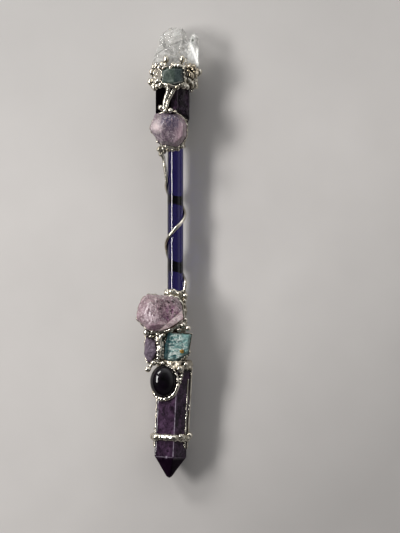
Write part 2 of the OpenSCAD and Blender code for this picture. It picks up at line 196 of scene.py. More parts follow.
def ramp(tree, value, stops):
    """A colour ramp: stops are (position, colour or grey)."""
    node = add_node(tree, "ShaderNodeValToRGB")
    elements = node.color_ramp.elements
    while len(elements) < len(stops):
        elements.new(0.5)
    for element, (position, colour) in zip(elements, stops):
        element.position = position
        element.color = (colour, colour, colour, 1) if isinstance(colour, (int, float)) else (*colour, 1)
    tree.links.new(value, node.inputs["Fac"])
    return node.outputs["Color"]


def mix(tree, share, first, second, blend="MIX"):
    """Two colours mixed by a share, each a socket or a constant."""
    node = add_node(tree, "ShaderNodeMix", data_type="RGBA", blend_type=blend)
    for socket, value in ((node.inputs[0], share), (node.inputs[6], first), (node.inputs[7], second)):
        if isinstance(value, bpy.types.NodeSocket):
            tree.links.new(value, socket)
        else:
            socket.default_value = value if isinstance(value, (int, float)) else (*value, 1)
    return node.outputs[2]


def spread(tree, value, low, high):
    """Maps low..high to 0..1, held at both ends."""
    node = add_node(tree, "ShaderNodeMapRange")
    node.inputs["From Min"].default_value = low
    node.inputs["From Max"].default_value = high
    tree.links.new(value, node.inputs["Value"])
    return node.outputs["Result"]


def zone(tree, centre, inner, outer, stretch=(1, 1, 1)):
    """One within the inner radius of a place in millimetres, zero beyond the outer one."""
    node = add_node(tree, "ShaderNodeVectorMath", operation="DISTANCE")
    tree.links.new(place_mm(tree, stretch), node.inputs[0])
    node.inputs[1].default_value = [c / k for c, k in zip(centre, stretch)]
    return spread(tree, node.outputs["Value"], outer, inner)


def beyond(tree, point, towards, width):
    """Zero on the near side of a plane through a point, rising to one over a width in millimetres."""
    node = add_node(tree, "ShaderNodeVectorMath", operation="DOT_PRODUCT")
    tree.links.new(place_mm(tree), node.inputs[0])
    direction = Vector(towards).normalized()
    node.inputs[1].default_value = direction
    start = direction.dot(Vector(point))
    return spread(tree, node.outputs["Value"], start, start + width)


def maths(tree, operation, first, second=0.0):
    node = add_node(tree, "ShaderNodeMath", operation=operation)
    for socket, value in zip(node.inputs, (first, second)):
        if isinstance(value, bpy.types.NodeSocket):
            tree.links.new(value, socket)
        else:
            socket.default_value = value
    return node.outputs[0]


def times(tree, first, second):
    return maths(tree, "MULTIPLY", first, second)


def tint(tree, colour, mask, share, other):
    """Another colour worked in where a mask is one, at most by a share."""
    return mix(tree, times(tree, mask, share), colour, other)


def line(tree, start, end, width, wave=0.0, fade=0.6):
    """One along a line between two places, seen from above, fading over a width in millimetres."""
    run = (end - start).xy.to_3d().normalized()
    across = Vector((-run.y, run.x, 0))
    node = add_node(tree, "ShaderNodeVectorMath", operation="DOT_PRODUCT")
    tree.links.new(place_mm(tree), node.inputs[0])
    node.inputs[1].default_value = across
    sway = maths(tree, "MULTIPLY", clouds(tree, place_mm(tree), 0.35, 3), 4 * wave)
    offset = maths(tree, "ADD", node.outputs["Value"], sway)
    away = maths(tree, "ABSOLUTE", maths(tree, "SUBTRACT", offset, across.dot(start) + 2 * wave))
    near = spread(tree, away, width, width * 0.3)
    ends = times(tree, beyond(tree, start, run, fade), beyond(tree, end, -run, fade))
    return times(tree, near, ends)


def worn_edges(tree, from_value=0.53, to_value=0.60):
    """One along the convex edges of a piece."""
    geometry = add_node(tree, "ShaderNodeNewGeometry")
    return ramp(tree, geometry.outputs["Pointiness"], [(from_value, 0.0), (to_value, 1.0)])


def bump(tree, shader, height, strength, distance_mm):
    node = add_node(tree, "ShaderNodeBump", Strength=strength, Distance=distance_mm * MM)
    tree.links.new(height, node.inputs["Height"])
    tree.links.new(node.outputs["Normal"], shader.inputs["Normal"])


def coat(tree, shader, colour, texture, low, high, ior=None):
    """Gives a shader its colour, and its roughness by a texture: low and high are (value, roughness)."""
    tree.links.new(colour, shader.inputs["Base Color"])
    tree.links.new(ramp(tree, texture, [low, high]), shader.inputs["Roughness"])
    if ior is not None:
        shader.inputs["IOR"].default_value = ior


def solder_material(
    name, bright=(0.72, 0.68, 0.60), stained=(0.44, 0.38, 0.26), crease_colour_patina_and_shade=(0.030, 0.022, 0.012),
    smooth=0.08, rough=0.24, painted_shade_below=None,
):
    """Tin solder: olive where it is stained, brown patina and painted shade in the creases, and painted
    shade, near black, below a given height.
    """
    material, tree, shader = new_material(name)
    place = place_mm(tree)
    hollow = add_node(tree, "ShaderNodeAmbientOcclusion", samples=4, Distance=1.4 * MM)
    # Brown patina and painted shade: the solder turns near black where ambient occlusion finds a crease.
    crease_patina_and_shade = ramp(tree, hollow.outputs["AO"], [(0.30, 1.0), (0.66, 0.65), (0.92, 0.0)])
    stain = ramp(tree, clouds(tree, place, 0.45, 5), [(0.46, 0.0), (0.70, 0.8)])
    colour = mix(tree, stain, bright, stained)
    colour = mix(tree, crease_patina_and_shade, colour, crease_colour_patina_and_shade)
    # Painted shade: near black below the given height.
    if painted_shade_below is not None:
        colour = mix(tree, beyond(tree, (0, 0, painted_shade_below), (0, 0, -1), 2.0), colour, (0.004, 0.003, 0.002))
    coat(tree, shader, colour, clouds(tree, place, 1.0, 4), (0.3, smooth), (0.75, rough))
    shader.inputs["Metallic"].default_value = 1.0
    bump(tree, shader, clouds(tree, place, 1.2, 4), 0.3, 0.25)
    return material


def cobalt_glass():
    material, tree, shader = new_material("cobalt_glass")
    streaks = clouds(tree, place_mm(tree, (1, 14, 1)), 0.9, 3)
    colour = ramp(tree, streaks, [(0.3, (0.018, 0.014, 0.104)), (0.7, (0.027, 0.022, 0.138))])
    coat(tree, shader, colour, streaks, (0.2, 0.02), (0.8, 0.06), ior=1.45)
    shader.inputs["Transmission Weight"].default_value = 1.0
    return material


def shoulder_of(node):
    """Ends of a pointed crystal's top edge, then the corners left and right of its end at the point."""
    shape = cad_mesh(node)
    corners = [v.co.copy() for v in shape.verts]
    shape.free()
    top = max(c.z for c in corners)
    crest = sorted((c for c in corners if c.z > top - 0.5), key=lambda c: c.y)
    end, base = crest[0], crest[-1]
    beside = [c for c in corners if abs(c.y - end.y) < 2 and 0.5 < top - c.z < 8]
    return base, end, min(beside, key=lambda c: c.x), max(beside, key=lambda c: c.x)


def dark_amethyst(name, deep, mid, glow, worn, painted_shade=(), lines=()):
    """Near-black purple crystal with veils and wisps inside.

    The painted-shade list holds (place, direction, width, share) of sides painted darker and given less
    gloss; lines holds (start, end, width, share) of chipped edges, partly real wear and partly painted
    highlight, one of them a painted glint.
    """
    material, tree, shader = new_material(name)
    place = place_mm(tree, (1, 1.6, 1))
    veils = clouds(tree, place, 0.20, 6, 0.62, 1.0)
    wisps = clouds(tree, place, 0.55, 7, 0.7, 1.6)
    colour = ramp(tree, veils, [(0.36, deep), (0.52, mid), (0.70, glow)])
    colour = mix(tree, ramp(tree, wisps, [(0.52, 0.0), (0.66, 0.7)]), colour, glow)
    flaws = ramp(tree, clouds(tree, place, 0.9, 3, 0.6, 0.5), [(0.54, 0.0), (0.64, 0.8)])
    colour = mix(tree, flaws, colour, deep)
    gloss = 0.5
    # Painted shade: each listed side is painted towards the deep colour and loses gloss, to make it darker
    # than the lamps do.
    for point, direction, width, share in painted_shade:
        painted_shade_share = times(tree, beyond(tree, point, direction, width), share)
        colour = mix(tree, painted_shade_share, colour, deep)
        gloss = times(tree, gloss, maths(tree, "SUBTRACT", 1.0, painted_shade_share))
    tree.links.new(gloss, shader.inputs["Specular IOR Level"])
    chips = ramp(tree, clouds(tree, place_mm(tree), 0.7, 3), [(0.36, 0.25), (0.56, 1.0)])
    # Chipped convex edges, partly real wear and partly a painted highlight along the edges.
    colour = mix(tree, times(tree, worn_edges(tree), chips), colour, worn)
    # Listed lines of chipped edge, partly real wear and partly painted highlight; a short one is a painted
    # glint.
    for start, end, width, share in lines:
        colour = mix(
            tree, times(tree, times(tree, line(tree, start, end, width), chips), share), colour, worn
        )
    coat(tree, shader, colour, wisps, (0.3, 0.05), (0.8, 0.14), ior=1.48)
    bump(tree, shader, clouds(tree, place_mm(tree), 0.10, 2), 0.15, 0.4)
    return material


def rough_amethyst(name):
    """The start of a translucent rough stone: gloss, light inside it and a pitted skin."""
    material, tree, shader = new_material(name)
    place = place_mm(tree)
    tree.links.new(
        ramp(tree, clouds(tree, place, 0.8, 4), [(0.3, 0.10), (0.7, 0.34)]), shader.inputs["Roughness"]
    )
    shader.inputs["IOR"].default_value = 1.54
    shader.inputs["Subsurface Weight"].default_value = 0.55
    shader.inputs["Subsurface Radius"].default_value = (1.0, 0.75, 0.9)
    shader.inputs["Subsurface Scale"].default_value = 1.6 * MM
    shader.inputs["Coat Weight"].default_value = 0.3
    shader.inputs["Coat Roughness"].default_value = 0.10
    bump(tree, shader, clouds(tree, place, 0.9, 6, 0.65), 0.5, 0.35)
    return material, tree, shader, place


def flecked(tree, colour, place, dark, bright):
    """A colour broken up by angular planes and by fine dark and bright grain."""
    planes = add_node(tree, "ShaderNodeTexVoronoi", feature="F1", Scale=0.55, Randomness=1.0)
    tree.links.new(place, planes.inputs["Vector"])
    tone = ramp(tree, planes.outputs["Color"], [(0.25, 0.58), (0.5, 1.0), (0.75, 1.0)])
    colour = mix(tree, 0.7, colour, tone, "MULTIPLY")
    grain = clouds(tree, place, 1.05, 4, 0.7, 0.6)
    colour = mix(tree, ramp(tree, grain, [(0.38, 0.85), (0.47, 0.0)]), colour, dark)
    return mix(tree, ramp(tree, grain, [(0.55, 0.0), (0.65, 0.8)]), colour, bright)


def rose_amethyst():
    """Rose stone: milky at its left, magenta right of the middle, with painted light glowing along its lower
    right edge.
    """
    material, tree, shader, place = rough_amethyst("rose_amethyst")
    at = lambda u, v: at_share("rose_stone", u, v, 0.8)
    patches = clouds(tree, place, 0.16, 6, 0.6, 1.4)
    colour = ramp(
        tree, patches, [
            (0.34, (0.19, 0.125, 0.150)), (0.50, (0.31, 0.215, 0.240)), (0.66, (0.47, 0.36, 0.385))
        ]
    )
    taupe = times(tree, zone(tree, at(0.42, 0.88), 2, 9, (1.6, 0.6, 1)), 0.6)
    colour = mix(tree, taupe, colour, (0.27, 0.205, 0.205))
    colour = flecked(tree, colour, place, (0.13, 0.065, 0.095), (0.64, 0.54, 0.56))
    arcs = ramp(
        tree, clouds(tree, place_mm(tree, (0.7, 2.4, 1)), 0.30, 3, 0.5, 2.0), [(0.42, 0.0), (0.56, 1.0)]
    )
    milky = times(tree, zone(tree, at(0.30, 0.42), 2.0, 6.5, (1, 1.3, 1)), arcs)
    colour = tint(tree, colour, milky, 0.85, (0.66, 0.54, 0.58))
    violet = ramp(
        tree, clouds(tree, place_mm(tree, (0.6, 1.7, 1)), 0.34, 5, 0.6, 0.8), [(0.42, 0.0), (0.56, 1.0)]
    )
    blush = times(tree, zone(tree, at(0.74, 0.47), 1.5, 5.5), violet)
    colour = tint(tree, colour, blush, 0.9, (0.30, 0.115, 0.245))
    shade = times(tree, zone(tree, at(0.58, 0.44), 0.9, 3.4, (0.7, 1.7, 1)), violet)
    colour = tint(tree, colour, shade, 0.95, (0.045, 0.024, 0.048))
    arc = times(tree, zone(tree, at(0.20, 0.24), 0.5, 3.0, (1.8, 0.7, 1)), arcs)
    colour = tint(tree, colour, arc, 0.8, (0.12, 0.07, 0.095))
    lower = times(tree, zone(tree, at(0.36, 0.06), 1, 4.5, (1.7, 0.8, 1)), 0.7)
    colour = mix(tree, lower, colour, (0.34, 0.165, 0.26))
    veins = ramp(
        tree, clouds(tree, place_mm(tree, (0.7, 1.6, 1)), 0.55, 5, 0.65, 1.6), [(0.545, 0.0), (0.60, 0.95)]
    )
    colour = mix(tree, times(tree, veins, zone(tree, at(0.60, 0.55), 4, 10)), colour, (0.055, 0.026, 0.042))
    # Painted light: the lower right edge is painted pale in streaks, as light coming through the stone.
    pale = beyond(tree, at(0.79, 0.38), (0.66, -0.75, 0), 0.5)
    streaks = ramp(
        tree, clouds(tree, place_mm(tree, (1.6, 0.6, 1)), 0.8, 5, 0.65, 1.0), [(0.40, 0.35), (0.56, 1.0)]
    )
    painted_edge_glow = times(tree, pale, streaks)
    colour = mix(tree, painted_edge_glow, colour, (1.0, 0.84, 0.87))
    specks = ramp(tree, clouds(tree, place, 0.58, 3, 0.55), [(0.585, 0.0), (0.615, 1.0)])
    colour = mix(
        tree, times(tree, specks, zone(tree, at(0.74, 0.72), 5.0, 11)), colour, (0.012, 0.006, 0.008)
    )
    # Painted glow: the same streaks give off a little light, though the stone is no lamp.
    shader.inputs["Emission Color"].default_value = (1.0, 0.62, 0.60, 1)
    tree.links.new(times(tree, painted_edge_glow, 0.13), shader.inputs["Emission Strength"])
    tree.links.new(colour, shader.inputs["Base Color"])
    return material


def lilac_amethyst():
    """Lilac stone: a painted highlight at its left point, dark veins above the middle, pinker and lined at
    its right.
    """
    material, tree, shader, place = rough_amethyst("lilac_amethyst")
    at = lambda u, v: at_share("lilac_stone", u, v, 0.8)
    patches = clouds(tree, place, 0.20, 6, 0.6, 1.2)
    colour = ramp(
        tree, patches, [
            (0.34, (0.140, 0.102, 0.132)), (0.50, (0.215, 0.163, 0.195)), (0.66, (0.34, 0.27, 0.30))
        ]
    )
    colour = flecked(tree, colour, place, (0.075, 0.050, 0.075), (0.50, 0.43, 0.45))
    # Painted highlight: a pale patch on the facet at the stone's left point.
    pale = zone(tree, at(0.16, 0.62), 1.2, 5.2, (1.1, 1, 1))
    colour = tint(tree, colour, pale, 0.85, (0.66, 0.56, 0.56))
    olive = times(tree, zone(tree, at(0.22, 0.88), 0.5, 3.2, (1, 0.8, 1)), 0.5)
    colour = mix(tree, olive, colour, (0.28, 0.25, 0.18))
    lines = ramp(
        tree, clouds(tree, place_mm(tree, (0.35, 3.5, 1)), 0.42, 4, 0.6), [(0.42, 0.0), (0.60, 1.0)]
    )
    pink = times(tree, beyond(tree, at(0.66, 0.5), (1, -0.15, 0), 3.5), 0.75)
    colour = mix(tree, pink, colour, (0.33, 0.215, 0.26))
    colour = tint(tree, colour, times(tree, pink, lines), 0.7, (0.64, 0.52, 0.54))
    veins = ramp(
        tree, clouds(tree, place_mm(tree, (0.5, 1.7, 1)), 0.62, 6, 0.65, 1.4), [(0.43, 0.0), (0.55, 1.0)]
    )
    colour = mix(
        tree, times(tree, veins, zone(tree, at(0.56, 0.76), 2.2, 6.6, (1.3, 1, 1))), colour,
        (0.040, 0.034, 0.080),
    )
    below = times(tree, zone(tree, at(0.42, 0.36), 1.0, 4.0, (1.6, 0.8, 1)), lines)
    colour = tint(tree, colour, below, 0.6, (0.12, 0.085, 0.12))
    specks = ramp(tree, clouds(tree, place, 1.1, 3, 0.5), [(0.58, 0.0), (0.65, 0.95)])
    colour = mix(
        tree, times(tree, specks, zone(tree, at(0.45, 0.18), 2, 7, (1.6, 1, 1))), colour,
        (0.03, 0.020, 0.026),
    )
    tree.links.new(colour, shader.inputs["Base Color"])
    return material


def clear_quartz():
    """Clear, whitened by veils inside, with one long dark fracture, and at its right a painted white glow,
    painted highlight strokes and a blue painted glint.
    """
    material, tree, shader = new_material("clear_quartz")
    place = place_mm(tree)
    at = lambda u, v: at_share("quartz_main", u, v, 1)
    veils = clouds(tree, place, 0.17, 6, 0.66, 1.8)
    cracks = ramp(tree, cells(tree, place, 0.26, jitter=1.0), [(0.0, 1.0), (0.045, 0.0)])
    colour = ramp(
        tree, veils, [(0.35, (0.93, 0.93, 0.91)), (0.55, (0.84, 0.84, 0.82)), (0.70, (0.66, 0.66, 0.64))]
    )
    colour = tint(tree, colour, cracks, 0.35, (0.45, 0.46, 0.44))
    specks = times(
        tree, ramp(tree, clouds(tree, place, 0.95, 3), [(0.56, 0.0), (0.63, 1.0)]),
        zone(tree, at(0.46, 0.85), 2, 6),
    )
    colour = tint(tree, colour, specks, 0.85, (0.16, 0.16, 0.14))
    seams = line(tree, at(0.16, 0.52), at(0.74, 0.77), 0.34, wave=0.8, fade=2.0)
    seams = maths(
        tree, "MAXIMUM", seams, line(tree, at(0.04, 0.41), at(0.30, 0.59), 0.42, wave=0.5, fade=0.8)
    )
    seams = maths(
        tree, "MAXIMUM", seams,
        times(tree, line(tree, at(0.44, 0.26), at(0.86, 0.52), 0.28, wave=0.9, fade=2.0), 0.6),
    )
    colour = tint(tree, colour, seams, 0.8, (0.16, 0.16, 0.145))
    core = zone(tree, at_share("quartz_side", 0.46, 0.80, 1), 0.6, 2.3, (0.6, 1.6, 3))
    grain = ramp(tree, clouds(tree, place, 1.0, 3), [(0.40, 0.35), (0.60, 1.0)])
    colour = mix(tree, times(tree, core, grain), colour, (0.07, 0.08, 0.06))
    # Painted light: a white patch at the right of the main crystal, made less clear.
    bright = zone(tree, at(0.92, 0.36), 2.0, 6.4, (0.75, 1.5, 1))
    colour = mix(tree, bright, colour, (1.0, 1.0, 0.99))
    # A blue painted glint.
    painted_glint = zone(tree, at(0.80, 0.52), 0.3, 1.2, (1.2, 0.7, 1))
    colour = tint(tree, colour, painted_glint, 0.8, (0.60, 0.70, 1.0))
    filled = times(tree, maths(tree, "MAXIMUM", bright, core), 0.75)
    clarity = maths(tree, "SUBTRACT", ramp(tree, veils, [(0.40, 0.92), (0.62, 0.55)]), filled)
    tree.links.new(clarity, shader.inputs["Transmission Weight"])
    # Painted glow: streaks in the white patch, a painted highlight stroke and the side crystal's edge give
    # off light, though the quartz is no lamp.
    ripples = clouds(tree, place_mm(tree, (0.8, 2.0, 1)), 0.45, 4, 0.6, 1.2)
    painted_glow_at_right = times(tree, bright, ramp(tree, ripples, [(0.44, 0.03), (0.60, 0.34)]))
    painted_highlight_stroke = line(tree, at(0.80, 0.74), at(1.0, 0.22), 1.1, wave=0.5, fade=2.0)
    edge = line(
        tree, at_share("quartz_side", 0.86, 0.62, 1), at_share("quartz_side", 0.94, 0.2, 1), 0.8, fade=1.5
    )
    painted_glow_at_right = maths(tree, "MAXIMUM", painted_glow_at_right, times(tree, maths(tree, "MAXIMUM", painted_highlight_stroke, edge), 0.46))
    # A faint painted glow low in the middle.
    middle = times(tree, zone(tree, at(0.42, 0.24), 3, 9, (1.6, 0.8, 1)), 0.07)
    shader.inputs["Emission Color"].default_value = (1.0, 0.99, 0.96, 1)
    clean = maths(tree, "SUBTRACT", 1.0, core)
    tree.links.new(
        times(tree, maths(tree, "MAXIMUM", painted_glow_at_right, middle), clean), shader.inputs["Emission Strength"]
    )
    coat(tree, shader, colour, veils, (0.40, 0.03), (0.75, 0.22), ior=1.42)
    bump(tree, shader, clouds(tree, place, 0.6, 5), 0.35, 0.35)
    return material


def green_stone_material():
    """Green-grey at its left, darker at its right, with a pale chipped line near its lower edge."""
    material, tree, shader = new_material("green_stone")
    place = place_mm(tree)
    at = lambda u, v: at_share("green_stone", u, v, 0.9)
    bands = clouds(tree, place, 0.30, 5, 0.6, 0.8)
    colour = ramp(
        tree, bands, [
            (0.34, (0.030, 0.044, 0.038)), (0.52, (0.052, 0.073, 0.061)), (0.70, (0.095, 0.125, 0.105))
        ]
    )
    dark = times(tree, beyond(tree, at(0.50, 0.5), (1, 0, 0), 1.6), 0.85)
    colour = mix(
        tree, dark, colour,
        ramp(tree, bands, [(0.35, (0.017, 0.026, 0.028)), (0.65, (0.045, 0.060, 0.062))]),
    )
    fold = times(tree, zone(tree, at(0.22, 0.55), 0.3, 1.0, (1.6, 3.2, 1)), 0.5)
    colour = mix(tree, fold, colour, (0.020, 0.034, 0.027))
    colour = tint(
        tree, colour, line(tree, at(0.50, 0.10), at(0.96, 0.22), 0.3, wave=0.2), 0.9, (0.42, 0.44, 0.41)
    )
    colour = tint(tree, colour, worn_edges(tree), 0.4, (0.20, 0.24, 0.21))
    coat(tree, shader, colour, bands, (0.3, 0.20), (0.8, 0.40), ior=1.55)
    bump(tree, shader, clouds(tree, place, 0.9, 4), 0.3, 0.2)
    return material


def grey_purple_stone():
    material, tree, shader = new_material("grey_purple_stone")
    place = place_mm(tree, (0.8, 1.5, 1))
    grain = clouds(tree, place, 0.85, 8, 0.72, 0.8)
    colour = ramp(
        tree, grain, [
            (0.34, (0.050, 0.030, 0.052)), (0.52, (0.105, 0.076, 0.108)), (0.70, (0.24, 0.19, 0.25))
        ]
    )
    colour = tint(tree, colour, worn_edges(tree), 0.5, (0.26, 0.21, 0.27))
    coat(tree, shader, colour, grain, (0.3, 0.42), (0.7, 0.65))
    bump(tree, shader, clouds(tree, place, 1.3, 6, 0.7), 0.6, 0.4)
    return material


def crumpled(tree, place, turn, stretch, scale, seed):
    """Thin wandering creases that run mostly one way, seen from above."""
    mapping = add_node(tree, "ShaderNodeMapping")
    mapping.inputs["Location"].default_value = (seed * 3.7, seed * 1.9, 0)
    mapping.inputs["Rotation"].default_value = (0, 0, math.radians(turn))
    mapping.inputs["Scale"].default_value = (stretch, 1, 1)
    tree.links.new(place, mapping.inputs["Vector"])
    field = clouds(tree, mapping.outputs["Vector"], scale, 3, 0.55, 0.5)
    away = maths(tree, "ABSOLUTE", maths(tree, "SUBTRACT", field, 0.5))
    return ramp(tree, away, [(0.0, 1.0), (0.016, 0.7), (0.046, 0.0)])


def teal_stone_material():
    """Aqua stone with crossing silvery creases, plain at its upper right, with painted shade along its left
    and lower edges.
    """
    material, tree, shader = new_material("teal_stone")
    place = place_mm(tree)
    at = lambda u, v: at_share("teal_stone", u, v, 1)
    tone = clouds(tree, place, 0.30, 4, 0.6, 0.6)
    base = ramp(tree, tone, [(0.36, (0.10, 0.235, 0.23)), (0.64, (0.195, 0.35, 0.33))])
    rising = crumpled(tree, place, 42, 0.36, 0.36, 1)
    falling = crumpled(tree, place, -52, 0.42, 0.34, 2)
    creases = maths(tree, "MAXIMUM", rising, falling)
    hollows = ramp(tree, clouds(tree, place, 0.50, 4, 0.6, 1.0), [(0.48, 0.0), (0.57, 0.95)])
    texture = mix(tree, hollows, base, (0.022, 0.080, 0.085))
    texture = mix(tree, times(tree, creases, 0.78), texture, (0.78, 0.86, 0.81))
    plain = times(tree, beyond(tree, at(0.66, 0.66), (1, 0.45, 0), 2.4), 0.85)
    colour = mix(tree, plain, texture, base)
    # Painted shade: a dark band along the left edge, with less gloss.
    rim = beyond(tree, at(0.22, 0.5), (-1, 0.10, 0), 0.9)
    colour = tint(tree, colour, rim, 0.95, (0.012, 0.040, 0.046))
    tree.links.new(
        maths(tree, "SUBTRACT", 0.5, times(tree, rim, 0.42)), shader.inputs["Specular IOR Level"]
    )
    # Painted shade along the lower edge.
    foot = beyond(tree, at(0.5, 0.15), (0.25, -1, 0), 1.0)
    colour = tint(tree, colour, foot, 0.85, (0.024, 0.070, 0.070))
    coat(tree, shader, colour, tone, (0.35, 0.12), (0.65, 0.26), ior=1.55)
    raised = maths(tree, "SUBTRACT", creases, hollows)
    bump(tree, shader, raised, 0.6, 0.35)
    return material


def black_stone():
    material, tree, shader = new_material("black_stone")
    place = place_mm(tree)
    sheen = clouds(tree, place, 0.16, 3, 0.5, 0.6)
    colour = ramp(tree, sheen, [(0.40, (0.0005, 0.0004, 0.0006)), (0.72, (0.0040, 0.0020, 0.0050))])
    coat(tree, shader, colour, clouds(tree, place, 0.5, 3), (0.3, 0.03), (0.8, 0.09), ior=1.46)
    shader.inputs["Specular IOR Level"].default_value = 0.36
    bump(tree, shader, clouds(tree, place, 0.22, 2), 0.25, 0.6)
    return material


def tinted_metal(name, pale, deep, low_rough, high_rough):
    material, tree, shader = new_material(name)
    place = place_mm(tree)
    stain = clouds(tree, place, 0.9, 5)
    colour = ramp(tree, stain, [(0.35, deep), (0.65, pale)])
    coat(tree, shader, colour, stain, (0.3, low_rough), (0.7, high_rough))
    shader.inputs["Metallic"].default_value = 1.0
    bump(tree, shader, clouds(tree, place, 2.2, 4), 0.4, 0.15)
    return material


def resin_material():
    material, tree, shader = new_material("resin")
    haze = clouds(tree, place_mm(tree), 0.4, 4)
    colour = ramp(tree, haze, [(0.3, (0.42, 0.33, 0.20)), (0.7, (0.60, 0.50, 0.34))])
    coat(tree, shader, colour, haze, (0.3, 0.25), (0.7, 0.45))
    return material


def tabletop_material():
    """Plain pale top, with painted shade a little past both ends of the wand, and a painted shadow, the
    darkest, past the point at its right.
    """
    material, tree, shader = new_material("tabletop")
    place = place_mm(tree)
    tone = ramp(
        tree, clouds(tree, place, 0.012, 4), [(0.3, (0.550, 0.527, 0.512)), (0.7, (0.595, 0.572, 0.556))]
    )
    # Painted shadow: the top darker towards the lower right, past the point.
    corner = times(tree, beyond(tree, (10, -70, 0), (0.75, -0.65, 0), 110), 0.42)
    tone = mix(tree, corner, tone, (0.20, 0.19, 0.185))
    # Painted shade: a little darker past the point's end.
    foot = times(tree, beyond(tree, (0, -60, 0), (0, -1, 0), 90), 0.09)
    tone = mix(tree, foot, tone, (0.20, 0.19, 0.185))
    # Painted shade: a little darker past the finial's end.
    top = times(tree, beyond(tree, (0, 40, 0), (-0.3, 1, 0), 110), 0.28)
    tone = mix(tree, top, tone, (0.36, 0.36, 0.355))
    coat(tree, shader, tone, clouds(tree, place, 0.05, 3), (0.3, 0.55), (0.7, 0.7))
    bump(tree, shader, clouds(tree, place, 0.9, 3), 0.05, 0.1)
    return material


RIDGE, SHOULDER, LEFT_CORNER, RIGHT_CORNER = shoulder_of("point_crystal")

MATERIALS = {
    "cobalt_glass": cobalt_glass(),
    "dark_amethyst": dark_amethyst(
        "dark_amethyst",
        (0.006, 0.002, 0.007), (0.034, 0.016, 0.036), (0.095, 0.050, 0.100), (0.40, 0.34, 0.43),
        # Painted shade: the left face a little darker and the point's pyramid nearly black, both with less
        # gloss.
        painted_shade=[
            (at_share("point_crystal", 0.55, 0.5, 1), (-1, 0, 0), 1.5, 0.20),
            (SHOULDER, (0, -1, 0), 1.5, 0.90),
        ],
        # Chipped edges along the ridge and shoulder, partly real wear and partly painted highlight.
        lines=[
            (RIDGE, SHOULDER, 0.30, 0.9),
            (SHOULDER, LEFT_CORNER, 0.35, 0.45),
            (SHOULDER, RIGHT_CORNER, 0.35, 0.35),
            # A painted glint on the shoulder's left edge.
            (SHOULDER.lerp(LEFT_CORNER, 0.28), SHOULDER.lerp(LEFT_CORNER, 0.46), 0.8, 1.0),
        ],
    ),
    "upper_amethyst": dark_amethyst(
        "upper_amethyst",
        (0.001, 0.0005, 0.001), (0.020, 0.011, 0.020), (0.065, 0.034, 0.068), (0.06, 0.045, 0.065),
        # Painted shade: the left face painted near black, with no gloss.
        painted_shade=[(at_share("upper_crystal", 0.50, 0.5, 1), (-1, 0, 0), 1.2, 1.0)],
    ),
    "clear_quartz": clear_quartz(),
    "lilac_amethyst": lilac_amethyst(),
    "rose_amethyst": rose_amethyst(),
    "green_stone": green_stone_material(),
    "grey_purple_stone": grey_purple_stone(),
    "teal_stone": teal_stone_material(),
    "black_stone": black_stone(),
    "solder": solder_material("solder"),
    # Painted shade on the spiral wire where it runs below the rod's axis.
    "wire_solder": solder_material("wire_solder", painted_shade_below=centre_mm("glass_rod").z - 1.5),
    "band_solder": solder_material(
        "band_solder", (0.60, 0.57, 0.50), (0.34, 0.30, 0.21), smooth=0.12, rough=0.30
    ),
    "stained_solder": solder_material("stained_solder", (0.70, 0.62, 0.49), (0.38, 0.30, 0.16)),
    "old_solder": solder_material(
        "old_solder", (0.46, 0.42, 0.35), (0.28, 0.23, 0.16), (0.050, 0.036, 0.020), smooth=0.28, rough=0.46
    ),
    "copper_foil": tinted_metal("copper_foil", (0.78, 0.45, 0.30), (0.45, 0.22, 0.13), 0.25, 0.45),
    "resin": resin_material(),
    "gold_fleck": tinted_metal("gold_fleck", (0.62, 0.40, 0.10), (0.22, 0.11, 0.03), 0.30, 0.50),
}


# ---- Making pieces ----


def finish_piece(name, shape, material, nodes):
    """Turns a mesh in millimetres into a piece that rides on the wand and stands for its CAD nodes."""
    bmesh.ops.recalc_face_normals(shape, faces=shape.faces)
    bmesh.ops.scale(shape, vec=Vector((MM,) * 3), verts=shape.verts)
    data = bpy.data.meshes.new(name)
    shape.to_mesh(data)
    shape.free()
    piece = bpy.data.objects.new(name, data)
    bpy.context.scene.collection.objects.link(piece)
    data.materials.append(MATERIALS[material])
    data.polygons.foreach_set("use_smooth", [True] * len(data.polygons))
    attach(piece, "root")
    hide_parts(*nodes)
    return piece


def modified(shape, *modifiers):
    """The mesh after Blender modifiers, each given as (type, settings)."""
    data = bpy.data.meshes.new("work")
    shape.to_mesh(data)
    shape.free()
    worker = bpy.data.objects.new("work", data)
    bpy.context.scene.collection.objects.link(worker)
    for kind, settings in modifiers:
        modifier = worker.modifiers.new(kind.lower(), kind)
        for key, value in settings.items():
            setattr(modifier, key, value)
    evaluated = worker.evaluated_get(bpy.context.evaluated_depsgraph_get())
    result = bmesh.new()
    result.from_mesh(evaluated.to_mesh())
    evaluated.to_mesh_clear()
    bpy.data.objects.remove(worker)
    bpy.data.meshes.remove(data)
    return result


def ball(shape, place, radius, stretch=None):
    """A ball, or an egg stretched along a direction: stretch is (direction, factor)."""
    turn = Matrix.Identity(4)
    size = Matrix.Identity(4)
    if stretch:
        turn = stretch[0].to_track_quat("Z", "Y").to_matrix().to_4x4()
        size = Matrix.Diagonal((1, 1, stretch[1], 1))
    bmesh.ops.create_icosphere(
        shape, subdivisions=3, radius=radius, matrix=Matrix.Translation(place) @ turn @ size
    )


def roughen(shape, amount, scale, seed, fine=0.0, floor=None):
    """Moves each vertex along its normal by smooth noise, in millimetres."""
    shape.normal_update()
    shift = Vector((seed * 7.3, seed * 3.1, seed * 5.7))
    moves = []
    for vertex in shape.verts:
        wide = noise.fractal(vertex.co / scale + shift, 1.0, 2.0, 3)
        small = noise.fractal(vertex.co / (scale * 0.28) + shift, 0.8, 2.0, 2) if fine else 0
        moves.append(vertex.normal * (wide * amount + small * fine))
    for vertex, move in zip(shape.verts, moves):
        vertex.co += move
        if floor is not None and vertex.co.z < floor:
            vertex.co.z = floor


